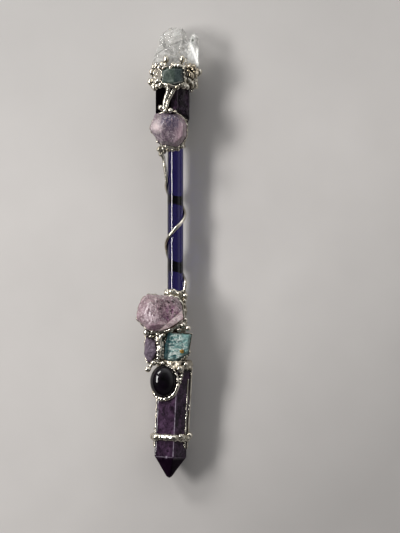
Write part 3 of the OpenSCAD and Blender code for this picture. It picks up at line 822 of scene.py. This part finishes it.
def bevelled(shape, width, segments, angle):
    """The mesh with its edges sharper than an angle in degrees worn round, as triangles."""
    shape = modified(
        shape,
        ("BEVEL", {
            "width": width,
            "segments": segments,
            "limit_method": "ANGLE",
            "angle_limit": math.radians(angle),
        }),
    )
    bmesh.ops.triangulate(shape, faces=shape.faces)
    return shape


def fuse(shape, voxel, smoothing):
    """Fuses overlapping solids into one skin, as molten solder does."""
    return modified(
        shape,
        ("REMESH", {"mode": "VOXEL", "voxel_size": voxel}),
        ("SMOOTH", {"factor": 0.5, "iterations": smoothing}),
    )


def poured(
    node, drops=(), lumps=0, lump_r=(0.6, 1.1), sink=0.35, voxel=0.22, smoothing=3, wobble=0.06, seed=1,
    floor=None, material="solder", solid=True,
):
    """Solder: the CAD solid, unless solid is off, with placed drops and spread lumps, fused and uneven."""
    rng = random.Random(seed)
    shape = cad_mesh(node)
    bmesh.ops.triangulate(shape, faces=shape.faces)
    faces = sorted(shape.faces, key=lambda f: tuple(round(c, 3) for c in f.calc_center_median()))
    areas = [face.calc_area() for face in faces]
    spots = []
    for _ in range(lumps):
        radius = rng.uniform(*lump_r)
        best, best_gap = None, -1.0
        for face in rng.choices(faces, areas, k=6):
            a, b, c = (v.co for v in face.verts)
            s, t = sorted((rng.random(), rng.random()))
            place = a * s + b * (t - s) + c * (1 - t) - face.normal * radius * sink
            nearest = min(((place - other).length for other, _ in spots), default=99.0)
            if nearest > best_gap:
                best, best_gap = place, nearest
        spots.append((best, radius))
    if not solid:
        shape.clear()
    for place, radius in spots:
        ball(shape, place, radius)
    for drop in drops:
        ball(shape, *drop)
    shape = fuse(shape, voxel, smoothing)
    roughen(shape, wobble, 1.6, seed, floor=floor)
    return finish_piece(node + "_poured", shape, material, [node])


def between(stops, at):
    """Values at a place along a list of (place, value, value...), by straight lines."""
    for (a, *first), (b, *second) in zip(stops, stops[1:]):
        if a <= at <= b:
            share = (at - a) / (b - a)
            return [f + (s - f) * share for f, s in zip(first, second)]
    raise ValueError(at)


def edge_point(outline, middle, angle):
    """Where a ray from the middle, at an angle in degrees, crosses a flat outline; and the ray."""
    way = Vector((math.cos(math.radians(angle)), math.sin(math.radians(angle))))
    around = sorted((c.xy - middle.xy for c in outline), key=lambda c: math.atan2(c.y, c.x))
    for p, q in zip(around, around[1:] + around[:1]):
        near, after = way.cross(p), way.cross(q)
        if near <= 0 < after:
            share = near / (near - after)
            return middle.xy + p.lerp(q, share), way
    raise ValueError(angle)


def rim_drops(stone, stops, seed, lumpy=0.3, step=2.5):
    """Drops of solder round a stone: stops give (angle, out from its girdle, rise above it, radius)."""
    outline = girdle_of(stone)
    middle = centre_mm(stone)
    drops = []
    angle = stops[0][0]
    while angle <= stops[-1][0]:
        out, rise, radius = between(stops, angle)
        edge, way = edge_point(outline, middle, angle)
        swell = noise.noise(Vector((angle * RIM_NOISE, seed * SEED_STEP, 0)))
        edge += way * (out + 0.15 * swell)
        drops.append((Vector((edge.x, edge.y, outline[0].z + rise)), radius * (1 + lumpy * swell * 1.6)))
        angle += step
    return drops


def beads(node, seed=1, foot=0.55, reach=2.2, swell=1.12, lift=0.0):
    """Solder beads: each a ball on a foot of solder, with necks between close ones, all raised by a lift."""
    rng = random.Random(seed)
    shape = bmesh.new()
    found = [(place + UP * lift, radius) for place, radius in beads_of(node)]
    for place, radius in found:
        lean = Vector((rng.uniform(-0.5, 0.5), rng.uniform(-0.5, 0.5), 1)).normalized()
        ball(shape, place, radius * swell, (lean, rng.uniform(0.94, 1.08)))
        ball(shape, place - UP * radius * foot, radius * 0.9)
    for i, (place, radius) in enumerate(found):
        for other, other_r in found[i + 1:]:
            run = other - place
            if run.length < radius + other_r + reach:
                for step in range(1, 6):
                    sag = UP * 0.5 * min(radius, other_r)
                    ball(
                        shape, place + run * step / 6 - sag,
                        0.62 * min(radius, other_r) * rng.uniform(0.9, 1.15),
                    )
    shape = fuse(shape, 0.16, 1)
    roughen(shape, 0.04, 1.2, seed)
    return finish_piece(node + "_drops", shape, "solder", [node])


def ring_about(middle, along, radius, sides, side):
    other = side.cross(along)
    return [
        middle + (side * math.cos(math.tau * k / sides) + other * math.sin(math.tau * k / sides)) * radius
        for k in range(sides)
    ]


def skin(shape, rings, closed=False):
    """Faces between rings of vertices; closed adds a face over each end."""
    for near, after in zip(rings, rings[1:]):
        for k in range(len(near)):
            m = (k + 1) % len(near)
            shape.faces.new((near[k], near[m], after[m], after[k]))
    if closed:
        shape.faces.new(list(reversed(rings[0])))
        shape.faces.new(rings[-1])


def tube(shape, path, radius_at, sides=14, up=UP):
    """A round tube along a path, with rounded ends; radius_at gives the radius at each share of it."""
    last = len(path) - 1
    rings = []
    side = (path[1] - path[0]).cross(up)
    for i, middle in enumerate(path):
        along = (path[min(i + 1, last)] - path[max(i - 1, 0)]).normalized()
        side = (side - along * side.dot(along)).normalized()
        ring = ring_about(middle, along, radius_at(i / last), sides, side)
        rings.append([shape.verts.new(place) for place in ring])
    skin(shape, rings, closed=True)
    ball(shape, path[0], radius_at(0) * 0.98)
    ball(shape, path[-1], radius_at(1) * 0.98)


def smooth_path(points, steps):
    """A Catmull-Rom curve through the points."""
    path = []
    for i in range(len(points) - 1):
        a, b = points[max(i - 1, 0)], points[i]
        c, d = points[i + 1], points[min(i + 2, len(points) - 1)]
        for s in range(steps):
            t = s / steps
            path.append(
                0.5 * (2 * b + (c - a) * t + (2 * a - 5 * b + 4 * c - d) * t ** 2
                       + (3 * b - 3 * c + d - a) * t ** 3)
            )
    path.append(points[-1].copy())
    return path


def uneven(seed, amount):
    """A radius factor that wanders smoothly along a wire."""
    return lambda share: 1 + amount * noise.noise(Vector((share * 9, seed * SEED_STEP, 0)))


def solder_wire(node, count=26, seed=1, factor=1.0, unevenness=0.35, droplets=0, root=1.0):
    """A solder-coated wire along a CAD wire that runs along Y; root thickens its +Y end."""
    rng = random.Random(seed)
    points, radius = centreline(node, count)
    wander = uneven(seed, unevenness)
    shape = bmesh.new()
    tube(
        shape, smooth_path(points, 3),
        lambda share: radius * factor * wander(share) * (1 + (root - 1) * share ** 2),
    )
    for _ in range(droplets):
        place = rng.choice(points[1:-1])
        ball(shape, place + UP * 0.15, radius * rng.uniform(1.15, 1.5))
    shape = fuse(shape, 0.15, 3)
    return finish_piece(node + "_wire", shape, "solder", [node])


# ---- Stones ----


def girdle_of(node):
    """The widest outline of a CAD stone, as its vertices."""
    shape = cad_mesh(node)
    low, high, _ = box_mm(node)
    levels = {}
    for vertex in shape.verts:
        levels.setdefault(round(vertex.co.z, 1), []).append(vertex.co.copy())
    middle = centre_mm(node)
    widest = max(
        (z for z in levels if low.z + 0.3 < z < high.z - 0.3),
        key=lambda z: max((c.xy - middle.xy).length for c in levels[z]),
    )
    shape.free()
    return levels[widest]


def facet_stone(
    node, material, top, seat=0.62, edge=0.35, amount=0.16, scale=2.4, fine=0.06, voxel=0.28, seed=1
):
    """A rough stone: hull of its girdle, a smaller seat and listed top corners, worn and pitted."""
    shape = bmesh.new()
    low, _, _ = box_mm(node)
    middle = centre_mm(node)
    girdle = girdle_of(node)
    corners = [at_share(node, *corner) for corner in top]
    corners += girdle
    for corner in girdle:
        under = middle.lerp(corner, seat)
        corners.append(Vector((under.x, under.y, low.z)))
    for corner in corners:
        shape.verts.new(corner)
    bmesh.ops.convex_hull(shape, input=shape.verts)
    bmesh.ops.dissolve_limit(
        shape, angle_limit=math.radians(3), verts=shape.verts, edges=shape.edges
    )
    shape = fuse(bevelled(shape, edge, 2, 30), voxel, 1)
    roughen(shape, amount, scale, seed, fine=fine)
    return finish_piece(node + "_cut", shape, material, [node])


# How far from its tip a crystal is made fuller, and how far the middle of the tip comes forward, in mm.
BLUNT_LENGTH = 9
TIP_PUSH = 0.5


def polished_crystal(node, material, edge, amount, seed, voxel=0.4, blunt=0.0):
    """A crystal with flat faces: its CAD solid with worn edges, a little wavy, and blunt at its lower tip."""
    shape = cad_mesh(node)
    bmesh.ops.dissolve_limit(shape, angle_limit=math.radians(2), verts=shape.verts, edges=shape.edges)
    shape = fuse(bevelled(shape, edge, 3, 15), voxel, 1)
    roughen(shape, amount, 7, seed)
    if blunt:
        tip = min((v.co for v in shape.verts), key=lambda c: c.y).copy()
        axis = (tip - centre_mm(node)).normalized()
        for vertex in shape.verts:
            back = (tip - vertex.co).dot(axis)
            out = vertex.co - tip + axis * back
            if back < BLUNT_LENGTH and out.length > 0.01:
                vertex.co += out.normalized() * min(blunt, out.length) * (1 - back / BLUNT_LENGTH)
            vertex.co += axis * TIP_PUSH * max(0.0, 1 - back) * max(0.0, 1 - out.length / blunt)
    return finish_piece(node + "_crystal", shape, material, [node])


# ---- The pieces, from the finial to the point ----


def make_rod():
    """The glass rod, with its ends chamfered."""
    low, high, size = box_mm("glass_rod")
    # A little thicker than the stock rod, as the lens of its glass makes it look.
    thickening = 1.06
    radius = size.x / 2 * thickening
    chamfer, margin = 0.4, 0.8
    spans, sides = 30, 96
    x, z = (low.x + high.x) / 2, (low.z + high.z) / 2
    stations = [(low.y, radius - chamfer), (low.y + chamfer, radius)]
    stations += [(low.y + margin + (size.y - 2 * margin) * i / spans, radius) for i in range(spans + 1)]
    stations += [(high.y - chamfer, radius), (high.y, radius - chamfer)]
    shape = bmesh.new()
    rings = []
    for y, r in stations:
        ring = ring_about(Vector((x, y, z)), Vector((0, 1, 0)), r, sides, Vector((1, 0, 0)))
        rings.append([shape.verts.new(place) for place in ring])
    skin(shape, rings, closed=True)
    finish_piece("rod", shape, "cobalt_glass", ["glass_rod"])


def make_quartz():
    """The broken main crystal, with a pitted skin, and the smooth small one beside it."""
    shape = fuse(bevelled(cad_mesh("quartz_main"), 0.5, 2, 20), 0.35, 1)
    roughen(shape, 0.60, 5.5, 11, fine=0.14)
    finish_piece("quartz_chunk", shape, "clear_quartz", ["quartz_main"])
    polished_crystal("quartz_side", "clear_quartz", 0.25, 0.10, 12, voxel=0.22)


def crown_place(angle, y, lift=0.0):
    """A place on the crown's collar: an angle round it in degrees, and a share of its length."""
    low, high, size = box_mm("crown_collar")
    radius = size.x / 2 + lift
    axis_x, axis_z = (low.x + high.x) / 2, high.z - size.x / 2
    turn = math.radians(angle)
    return Vector((axis_x + radius * math.cos(turn), low.y + size.y * y, axis_z + radius * math.sin(turn)))


def crown_drops():
    """Drops along the crown that can be made out one by one, then rows of them all the way round."""
    rng = random.Random(20)
    along = Vector((0, 1, 0))
    listed = [
        (130, 0.11, 1.5, 1.2), (116, 1.02, 1.2, 1.4), (126, 1.06, 1.45, 1.4), (96, 1.06, 0.85, 1.1),
        (86, 1.08, 0.85, 1.0), (77, 1.10, 0.9, 1.0), (148, 0.30, 1.5, 1.5), (101, 0.14, 1.25, 1.5),
        (83, 0.02, 1.4, 1.1), (65, 0.07, 1.5, 1.1), (37, 0.17, 1.5, 1.6), (47, 0.35, 1.35, 1.4),
        (27, 0.42, 1.45, 1.4), (140, 0.62, 1.3, 1.5), (160, 0.70, 1.3, 1.5), (20, 0.75, 1.4, 1.5),
        (118, 0.30, 1.1, 1.8), (112, 0.62, 0.95, 1.8),
    ]
    drops = [(crown_place(angle, y, 0.25), radius, (along, stretch)) for angle, y, radius, stretch in listed]
    for row, share in enumerate((0.08, 0.36, 0.64, 0.94)):
        for k in range(20):
            angle = 360 * (k + 0.5 * (row % 2)) / 20 + rng.uniform(-5, 5)
            if 55 < angle < 125 and row in (1, 2):
                continue
            place = crown_place(angle, share + rng.uniform(-0.06, 0.06), rng.uniform(-0.1, 0.35))
            drops.append((place, rng.uniform(1.0, 1.45), (along, rng.uniform(1.0, 1.6))))
    return drops


def make_prongs():
    """Prongs that thicken towards the ball at their tip; those at the middle of the crest are short stubs."""
    rng = random.Random(26)
    shape = bmesh.new()
    middle_x = centre_mm("crown_collar").x
    crest_z = box_mm("crown_prongs")[1].z - 3
    steps = 8
    for root, tip in prongs_of("crown_prongs"):
        run = tip - root
        stub = abs(tip.x - middle_x) < 2 and tip.z > crest_z
        reach = 0.5 if stub else 0.86
        for i in range(steps + 1):
            share = i / steps
            ball(shape, root + run * reach * share, 0.85 + 0.35 * share ** 2 + rng.uniform(-0.06, 0.10))
        leaning = (run.normalized() + Vector((0, 1.6, 0))).normalized()
        size = 1.5 * rng.uniform(0.92, 1.08)
        if not stub:
            ball(shape, tip - run.normalized(), size, (leaning, 1.4))
    shape = fuse(shape, 0.16, 1)
    finish_piece("crown_prongs_cast", shape, "solder", ["crown_prongs"])


def make_crown():
    """The lumpy collar, its plate, granules, prongs and rosette seat, and the green stone in its bezel."""
    poured("crown_collar", drops=crown_drops(), voxel=0.24, smoothing=1, seed=21, floor=0)
    poured("crown_wing", lumps=5, lump_r=(0.5, 0.9), smoothing=8, wobble=0.12, seed=22)
    green_rim = [
        (0, 0.2, -0.2, 0.6), (35, 0.4, 0.0, 0.8), (58, 0.9, 0.3, 1.0), (75, 1.1, 0.4, 1.05),
        (93, 0.9, 0.3, 0.95), (103, 0.3, -0.8, 0.5), (112, -0.1, -1.4, 0.35), (122, 0.4, 0.0, 0.8),
        (140, 0.7, 0.1, 0.9), (150, 0.0, -1.2, 0.4), (200, -0.3, -1.5, 0.35), (225, 0.4, -0.3, 0.8),
        (270, 0.7, -0.1, 1.0), (320, 0.6, -0.2, 0.95), (345, 0.3, -0.2, 0.7), (360, 0.2, -0.2, 0.6),
    ]
    drops = rim_drops("green_stone", green_rim, 23, lumpy=0.5, step=4)
    poured("green_stone_bezel", drops=drops, voxel=0.18, smoothing=1, seed=23, solid=False)
    poured("rosette_base", lumps=26, lump_r=(0.8, 1.3), sink=0.2, smoothing=1, seed=24)
    beads("crown_granules", seed=25, swell=1.2)
    make_prongs()
    facet_stone(
        "green_stone", "green_stone",
        [(0.10, 0.80, 0.8), (0.30, 0.88, 1), (0.86, 0.86, 1), (0.90, 0.26, 1), (0.58, 0.14, 0.95),
         (0.10, 0.25, 0.55)],
        seat=0.9, edge=0.25, amount=0.05, scale=3, fine=0.02, voxel=0.2, seed=27,
    )


def make_rosette():
    """Lumpy wire wound into a knot on the crown's shoulder."""
    low, high, _ = box_mm("rosette_coil")
    base_low, base_high, _ = box_mm("rosette_base")
    middle = (base_low + base_high) / 2
    facing = ((low + high) / 2 - middle).normalized()
    turn_to = facing.to_track_quat("Z", "Y").to_matrix()
    rng = random.Random(31)
    shape = bmesh.new()
    for strand, (outer, thread) in enumerate(((3.5, 0.72), (2.7, 0.62), (1.7, 0.66))):
        start = rng.uniform(0, 360)
        wander = uneven(32 + strand, 0.5)
        path = []
        for i in range(60):
            share = i / 59
            turn = math.radians(start + 400 * share)
            wave = 0.7 * math.sin(math.radians(4 * 360 * share + 120 * strand))
            r = outer * (1 - 0.45 * share) + 0.3 * wave
            path.append(
                middle + turn_to @ Vector(
                    (r * math.cos(turn), r * math.sin(turn), 1.0 + 1.0 * share + wave)
                ),
            )
        tube(shape, path, lambda share: thread * wander(share * 2), sides=10, up=facing)
    for k in range(9):
        turn = math.radians(360 * k / 9 + rng.uniform(-14, 14))
        ball(
            shape, middle + turn_to @ Vector((3.6 * math.cos(turn), 3.6 * math.sin(turn), 1.2)),
            rng.uniform(0.8, 1.25),
        )
    shape = fuse(shape, 0.15, 1)
    finish_piece("rosette_wire", shape, "stained_solder", ["rosette_coil"])


def make_head_stones():
    """The upper crystal and its boot, the forked stems, the lilac stone in its bezel, and the wire's knot."""
    polished_crystal("upper_crystal", "upper_amethyst", 0.45, 0.10, 41)
    solder_wire("stem_left", seed=42, factor=1.1, unevenness=0.15, root=1.35)
    solder_wire("stem_right", seed=43, factor=1.18, unevenness=0.15, root=1.2)
    beads("stem_beads", seed=44)
    facet_stone(
        "lilac_stone", "lilac_amethyst",
        [(0.30, 0.48, 0.96), (0.42, 0.84, 0.92), (0.72, 0.86, 0.97), (0.90, 0.64, 0.95),
         (0.88, 0.31, 0.93), (0.68, 0.12, 0.92), (0.38, 0.18, 0.92)],
        edge=0.3, amount=0.12, scale=2.2, fine=0.06, seed=45,
    )
    lilac_rim = [
        (-62, 0.35, -0.6, 0.75), (-20, 0.05, -0.4, 0.48), (20, -0.05, -0.3, 0.45), (60, 0.05, -0.3, 0.55),
        (95, 0.3, -0.5, 0.8), (120, -0.7, -1.4, 0.7), (240, -0.7, -1.4, 0.7), (298, 0.35, -0.6, 0.75),
    ]
    lilac_foot = [(-132, 0.1, -0.9, 1.0), (-95, 0.35, -0.7, 1.2), (-62, 0.4, -0.7, 1.05)]
    drops = rim_drops("lilac_stone", lilac_rim, 46, lumpy=0.6)
    drops += rim_drops("lilac_stone", lilac_foot, 52, lumpy=0.6, step=9)
    poured("lilac_stone_bezel", drops=drops, voxel=0.18, smoothing=1, seed=46, solid=False)
    beads("lilac_stone_beads", seed=47, swell=1.2)
    poured("upper_boot", lumps=60, lump_r=(0.7, 1.2), voxel=0.3, seed=48, material="old_solder")
    poured("upper_foil_sleeve", voxel=0.2, smoothing=0, wobble=0.0, seed=49, material="copper_foil")
    beads("wire_knot", seed=50)


def wire_points(node):
    """Centre points of a CAD wire: the mean of each of its eight-sided rings, from its highest Y end."""
    shape = cad_mesh(node)
    ring_sides = 8
    ends = sorted(shape.verts, key=lambda v: -v.co.y)
    left = set(shape.verts)
    ring = ends[:ring_sides]
    points = []
    while ring:
        points.append(sum((v.co for v in ring), Vector()) / len(ring))
        left -= set(ring)
        after = {edge.other_vert(v) for v in ring for edge in v.link_edges} & left
        ring = sorted(after, key=lambda v: -v.co.y)[:ring_sides] if len(after) >= ring_sides else []
    shape.free()
    return points


def make_spiral():
    """Bright wire from the knot, once and a half round the rod, to the lower collar."""
    axis = centre_mm("glass_rod")
    points = wire_points("spiral_wire")
    ring_radius = (box_mm("spiral_wire")[1].x - axis.x) / 2 - box_mm("glass_rod")[2].x / 4
    shape = bmesh.new()
    wander = uneven(61, 0.10)
    path = smooth_path(points, 3)

    def radius_at(share):
        # Thicker behind the rod, where it makes the dark bands that show through the glass.
        behind = max(0.0, axis.z - path[round(share * (len(path) - 1))].z) / 5
        return ring_radius * wander(share * 3) * (0.86 + 0.75 * min(behind, 1.0) ** 3)

    tube(shape, path, radius_at, sides=16, up=Vector((0, 1, 0)))
    finish_piece("spiral_wire_drawn", shape, "wire_solder", ["spiral_wire"])


def make_divider():
    """Two lumpy upright runs of solder side by side between the small stone and the teal one."""
    wander = uneven(84, 0.7)
    drops = []
    for across, radius, rise in ((0.16, 1.1, 0.80), (0.84, 0.85, 0.66)):
        for i in range(24):
            share = i / 23
            drops.append((
                at_share("divider_ridge", across + 0.08 * math.sin(5 * share), 0.06 + 0.88 * share, rise),
                radius * wander(share + across),
            ))
    poured("divider_ridge", drops=drops, voxel=0.2, smoothing=2, seed=81)


def make_gold_fleck():
    """A low mound of gold grains."""
    shape = bmesh.new()
    place = centre_mm("gold_fleck") + UP * 0.55
    rng = random.Random(83)
    ball(shape, place, 1.05, (UP, 0.6))
    for _ in range(16):
        turn, reach = rng.uniform(0, math.tau), 0.95 * math.sqrt(rng.random())
        grain = place + Vector((reach * math.cos(turn), reach * math.sin(turn), 0.25))
        ball(shape, grain, rng.uniform(0.34, 0.52))
    shape = fuse(shape, 0.12, 1)
    finish_piece("gold_fleck_grains", shape, "gold_fleck", ["gold_fleck"])


def make_lower_stones():
    """The collar at the rod's lower end, the rose, small and teal stones, and the solder between them."""
    poured("lower_foil_sleeve", voxel=0.3, smoothing=0, wobble=0.0, seed=70, material="copper_foil")
    poured("lower_collar", lumps=34, lump_r=(0.9, 1.4), sink=0.25, smoothing=2, seed=71)
    beads("lower_collar_balls", seed=72, swell=1.2)
    facet_stone(
        "rose_stone", "rose_amethyst",
        [(0.29, 0.81, 0.90), (0.52, 0.88, 0.95), (0.76, 0.84, 0.92), (0.93, 0.57, 0.92), (0.985, 0.33, 0.74),
         (0.69, 0.09, 0.74), (0.62, 0.20, 0.97), (0.30, 0.16, 0.90), (0.15, 0.45, 0.82), (0.45, 0.55, 1.0)],
        edge=0.3, amount=0.14, scale=2.6, fine=0.07, voxel=0.28, seed=73,
    )
    rose_rim = [
        (-90, 0.3, -0.9, 1.0), (-75, 0.8, -0.5, 1.2), (-60, 1.1, 1.0, 1.1), (-42, 1.2, 1.4, 1.1),
        (-28, 0.7, 0.9, 0.85), (-15, 0.35, -0.3, 0.65),
        (15, 0.3, -0.3, 0.6), (40, 0.1, -0.8, 0.75), (60, -0.6, -1.6, 0.8), (120, -0.8, -2.0, 0.8),
        (180, -0.7, -2.0, 0.7), (225, -0.3, -1.6, 0.8), (250, 0.2, -1.1, 0.95), (270, 0.3, -0.9, 1.0),
    ]
    drops = rim_drops("rose_stone", rose_rim, 74, lumpy=0.5)
    poured("rose_stone_bezel", drops=drops, voxel=0.22, smoothing=1, seed=74)
    beads("rose_stone_prongs", seed=75, swell=1.2)
    beads("rose_solder_cluster", seed=76, foot=1.1, swell=1.25, lift=1.9)
    facet_stone(
        "small_stone", "grey_purple_stone",
        [(0.30, 0.88, 0.85), (0.80, 0.75, 0.9), (0.90, 0.40, 0.95), (0.55, 0.12, 0.85), (0.25, 0.40, 0.95)],
        seat=0.6, edge=0.3, amount=0.25, scale=1.5, fine=0.10, voxel=0.2, seed=77,
    )
    small_rim = [
        (-90, 0.1, -0.6, 0.8), (-45, 0.3, -0.4, 0.8), (0, 0.3, -0.2, 0.7), (60, 0.3, -0.2, 0.8),
        (90, 0.3, -0.3, 0.9), (120, 0.0, -0.7, 0.7), (150, -0.6, -1.2, 0.6), (230, -0.6, -1.2, 0.6),
        (260, 0.0, -0.8, 0.8), (270, 0.1, -0.6, 0.8),
    ]
    drops = rim_drops("small_stone", small_rim, 78, step=5)
    poured("small_stone_bezel", drops=drops, voxel=0.2, smoothing=2, seed=78)
    facet_stone(
        "teal_stone", "teal_stone",
        [(0.16, 0.90, 0.93), (0.90, 0.90, 1), (0.84, 0.36, 1), (0.46, 0.10, 0.92), (0.16, 0.12, 0.92),
         (0.10, 0.30, 0.92)],
        seat=0.92, edge=0.4, amount=0.22, scale=1.6, fine=0.14, voxel=0.2, seed=79,
    )
    teal_rim = [
        (-100, 0.25, -1.0, 0.6), (-60, 0.4, -0.8, 0.8), (-40, 0.5, -0.6, 0.9), (-25, 0.6, -0.4, 0.7),
        (-10, 0.2, -1.2, 0.5), (20, -0.4, -1.8, 0.5), (60, -0.4, -2.0, 0.5), (110, -0.2, -1.6, 0.6),
        (150, 0.2, -1.2, 0.7), (200, 0.25, -1.0, 0.65), (230, 0.25, -1.0, 0.6), (260, 0.25, -1.0, 0.6),
    ]
    drops = rim_drops("teal_stone", teal_rim, 80, lumpy=0.5, step=3.5)
    poured("teal_stone_bezel", drops=drops, voxel=0.18, smoothing=1, seed=80)
    make_divider()
    poured(
        "stone_saddle", lumps=90, lump_r=(0.9, 1.6), voxel=0.4, smoothing=4, wobble=0.15, seed=82,
        material="old_solder",
    )
    make_gold_fleck()


def make_cabochon():
    """The black oval, a dome of revolution made oval and tilted as its cup is, and the cup's poured rim."""
    low, high, _ = box_mm("cabochon")
    tilt, turn = math.radians(-8), math.radians(-1.5)
    half_w, half_l, height = 7.1, 8.75, 5.2
    foot_z, forward = 18.6, 0.35
    foot = Vector(((low.x + high.x) / 2, (low.y + high.y) / 2 + forward, foot_z))
    turn_to = Matrix.Translation(foot) @ Matrix.Rotation(turn, 4, "Z") @ Matrix.Rotation(tilt, 4, "Y")
    rings, sides = 20, 72
    # The dome stops just short of its pole, and a small flat face closes it there.
    near_pole = 88
    shape = bmesh.new()
    grid = []
    for i in range(rings):
        climb = math.radians(near_pole * i / (rings - 1))
        row = []
        for k in range(sides):
            a = math.tau * k / sides
            across, along = half_w * math.cos(a), half_l * math.sin(a)
            place = Vector((math.cos(climb) * across, math.cos(climb) * along, height * math.sin(climb)))
            row.append(shape.verts.new(turn_to @ place))
        grid.append(row)
    skin(shape, grid, closed=True)
    finish_piece("cabochon_dome", shape, "black_stone", ["cabochon"])
    rim = [
        (-90, 0.8, 0.2, 1.3), (-45, 0.95, 0.3, 1.25), (0, 0.75, 0.5, 0.85), (45, 0.3, 0.3, 0.65),
        (75, -0.1, -0.5, 0.5), (110, -0.5, -0.9, 0.5), (180, -0.6, -0.9, 0.5), (215, -0.3, -0.6, 0.6),
        (235, 0.4, 0.0, 1.0), (270, 0.8, 0.2, 1.3),
    ]
    rim_seed = 93
    drops = []
    for angle in range(-90, 270, 4):
        out, rise, radius = between(rim, angle)
        swell = noise.noise(Vector((angle * RIM_NOISE, rim_seed * SEED_STEP, 0)))
        a = math.radians(angle)
        place = Vector(((half_w + out) * math.cos(a), (half_l + out) * math.sin(a), rise))
        drops.append((turn_to @ place, radius * (1 + 0.6 * swell)))
    poured("cabochon_cup", drops=drops, voxel=0.2, smoothing=1, seed=rim_seed, solid=False)


def band_drops(node, count, radius, lumpy, seed):
    """Drops all round a ring-shaped CAD node, sunk in its outer face."""
    shape = cad_mesh(node)
    tree = BVHTree.FromBMesh(shape)
    shape.free()
    low, high, _ = box_mm(node)
    tip = min((v.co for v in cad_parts["point_crystal"].data.vertices), key=lambda c: c.y)
    base = centre_mm("point_crystal")
    along = (tip / MM - base).normalized()
    along.z = 0
    middle = Vector(((low.x + high.x) / 2, (low.y + high.y) / 2, base.z))
    side = along.cross(UP).normalized()
    drops = []
    for k in range(count):
        turn = math.tau * k / count
        way = side * math.cos(turn) + UP * math.sin(turn)
        swell = noise.noise(Vector((8 * math.cos(turn), 8 * math.sin(turn), seed * SEED_STEP)))
        hit = tree.ray_cast(middle + way * 30, -way)[0]
        if hit:
            size = radius * (1 + lumpy * 1.6 * swell)
            drops.append((hit - way * (size * 0.58) + along * 0.6 * swell, size))
    return drops


def make_point():
    """The long crystal with its cap, edge wires and band, and the cabochon on it."""
    polished_crystal("point_crystal", "dark_amethyst", 0.42, 0.10, 91, voxel=0.3, blunt=0.9)
    poured("point_cap_plate", lumps=60, lump_r=(0.8, 1.3), voxel=0.3, seed=92, material="old_solder")
    make_cabochon()
    poured("cabochon_solder", lumps=20, lump_r=(0.8, 1.3), voxel=0.3, seed=94, material="old_solder")
    beads("cabochon_bead_strip", seed=95, foot=0.3)
    beads("large_balls", seed=96, foot=0.8)
    poured("left_edge_strip", lumps=18, lump_r=(0.5, 0.9), sink=0.55, smoothing=5, seed=97)
    solder_wire("right_inner_wire", seed=98, unevenness=0.5, droplets=3)
    solder_wire("right_outer_wire", seed=99, factor=1.25, unevenness=0.3, droplets=1)
    drops = band_drops("tip_band", 96, 1.95, 0.45, 100)
    poured("tip_band", drops=drops, voxel=0.22, smoothing=2, seed=100, floor=0, material="band_solder")
    beads("band_knobs", seed=101, swell=1.2)
    poured("band_rest_pad", lumps=6, lump_r=(0.5, 0.9), seed=102, floor=0)


def dress_hidden():
    """The bonding bed stays as its CAD solid, and gets its finish."""
    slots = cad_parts["crown_core"].data.materials
    for i in range(len(slots)):
        slots[i] = MATERIALS["resin"]


# ---- Floor, light and camera ----


def make_stage():
    """The tabletop, which isn't part of the wand."""
    bpy.ops.mesh.primitive_plane_add(size=6, location=(0, 0, -0.0002))
    floor = bpy.context.object
    floor.name = "tabletop"
    floor.data.materials.append(tabletop_material())


def area_light(name, place, target, size, power, colour):
    data = bpy.data.lights.new(name, "AREA")
    data.shape = "RECTANGLE"
    data.size, data.size_y = size
    data.energy = power
    data.color = colour
    lamp = bpy.data.objects.new(name, data)
    lamp.location = place
    lamp.rotation_euler = (Vector(target) - Vector(place)).to_track_quat("-Z", "Y").to_euler()
    bpy.context.scene.collection.objects.link(lamp)


DAYLIGHT = (1.0, 0.985, 0.965)


def make_light():
    """Two tall panes of daylight from the left, and a dim room that is brighter beyond the finial."""
    area_light("left_pane", (-1.17, 0.14, 0.93), (0, 0, 0), (0.66, 0.26), 15.5, DAYLIGHT)
    area_light("far_pane", (-0.86, 0.92, 0.80), (0, 0, 0), (0.46, 0.26), 9.5, DAYLIGHT)
    world = bpy.data.worlds.new("room")
    world.use_nodes = True
    tree = world.node_tree
    coordinates = add_node(tree, "ShaderNodeTexCoord")
    split = add_node(tree, "ShaderNodeSeparateXYZ")
    tree.links.new(coordinates.outputs["Generated"], split.inputs[0])
    along = ramp(
        tree, spread(tree, split.outputs["Y"], -1, 1),
        [(0.05, 0.06), (0.32, 0.22), (0.50, 0.90), (0.70, 1.0)],
    )
    across = ramp(
        tree, spread(tree, split.outputs["X"], -1, 1),
        [(0.02, 0.20), (0.25, 0.40), (0.5, 1.0), (0.75, 0.80), (0.98, 0.35)],
    )
    height = ramp(
        tree, split.outputs["Z"],
        [(0.0, 0.10), (0.18, 0.70), (0.42, 1.85), (0.65, 1.20), (0.80, 0.36), (0.92, 0.14), (1.0, 0.09)],
    )
    room = mix(tree, 1.0, mix(tree, 1.0, along, across, "MULTIPLY"), height, "MULTIPLY")
    tree.links.new(room, tree.nodes["Background"].inputs["Color"])
    tree.nodes["Background"].inputs["Strength"].default_value = 1.15
    bpy.context.scene.world = world


def make_camera():
    """Looks straight down, with the wand left of the middle of the frame."""
    view_height = 0.2852
    distance = 1.8
    plane_z = 0.011
    sensor = 36
    data = bpy.data.cameras.new("camera")
    data.sensor_width = sensor
    data.lens = sensor * distance / view_height
    data.clip_end = 20
    camera = bpy.data.objects.new("camera", data)
    camera.location = (0.0166, -0.0072, plane_z + distance)
    bpy.context.scene.collection.objects.link(camera)
    bpy.context.scene.camera = camera


make_rod()
make_quartz()
make_crown()
make_rosette()
make_head_stones()
make_spiral()
make_lower_stones()
make_point()
dress_hidden()
make_stage()
make_light()
make_camera()
bpy.context.scene.view_settings.view_transform = "Standard"
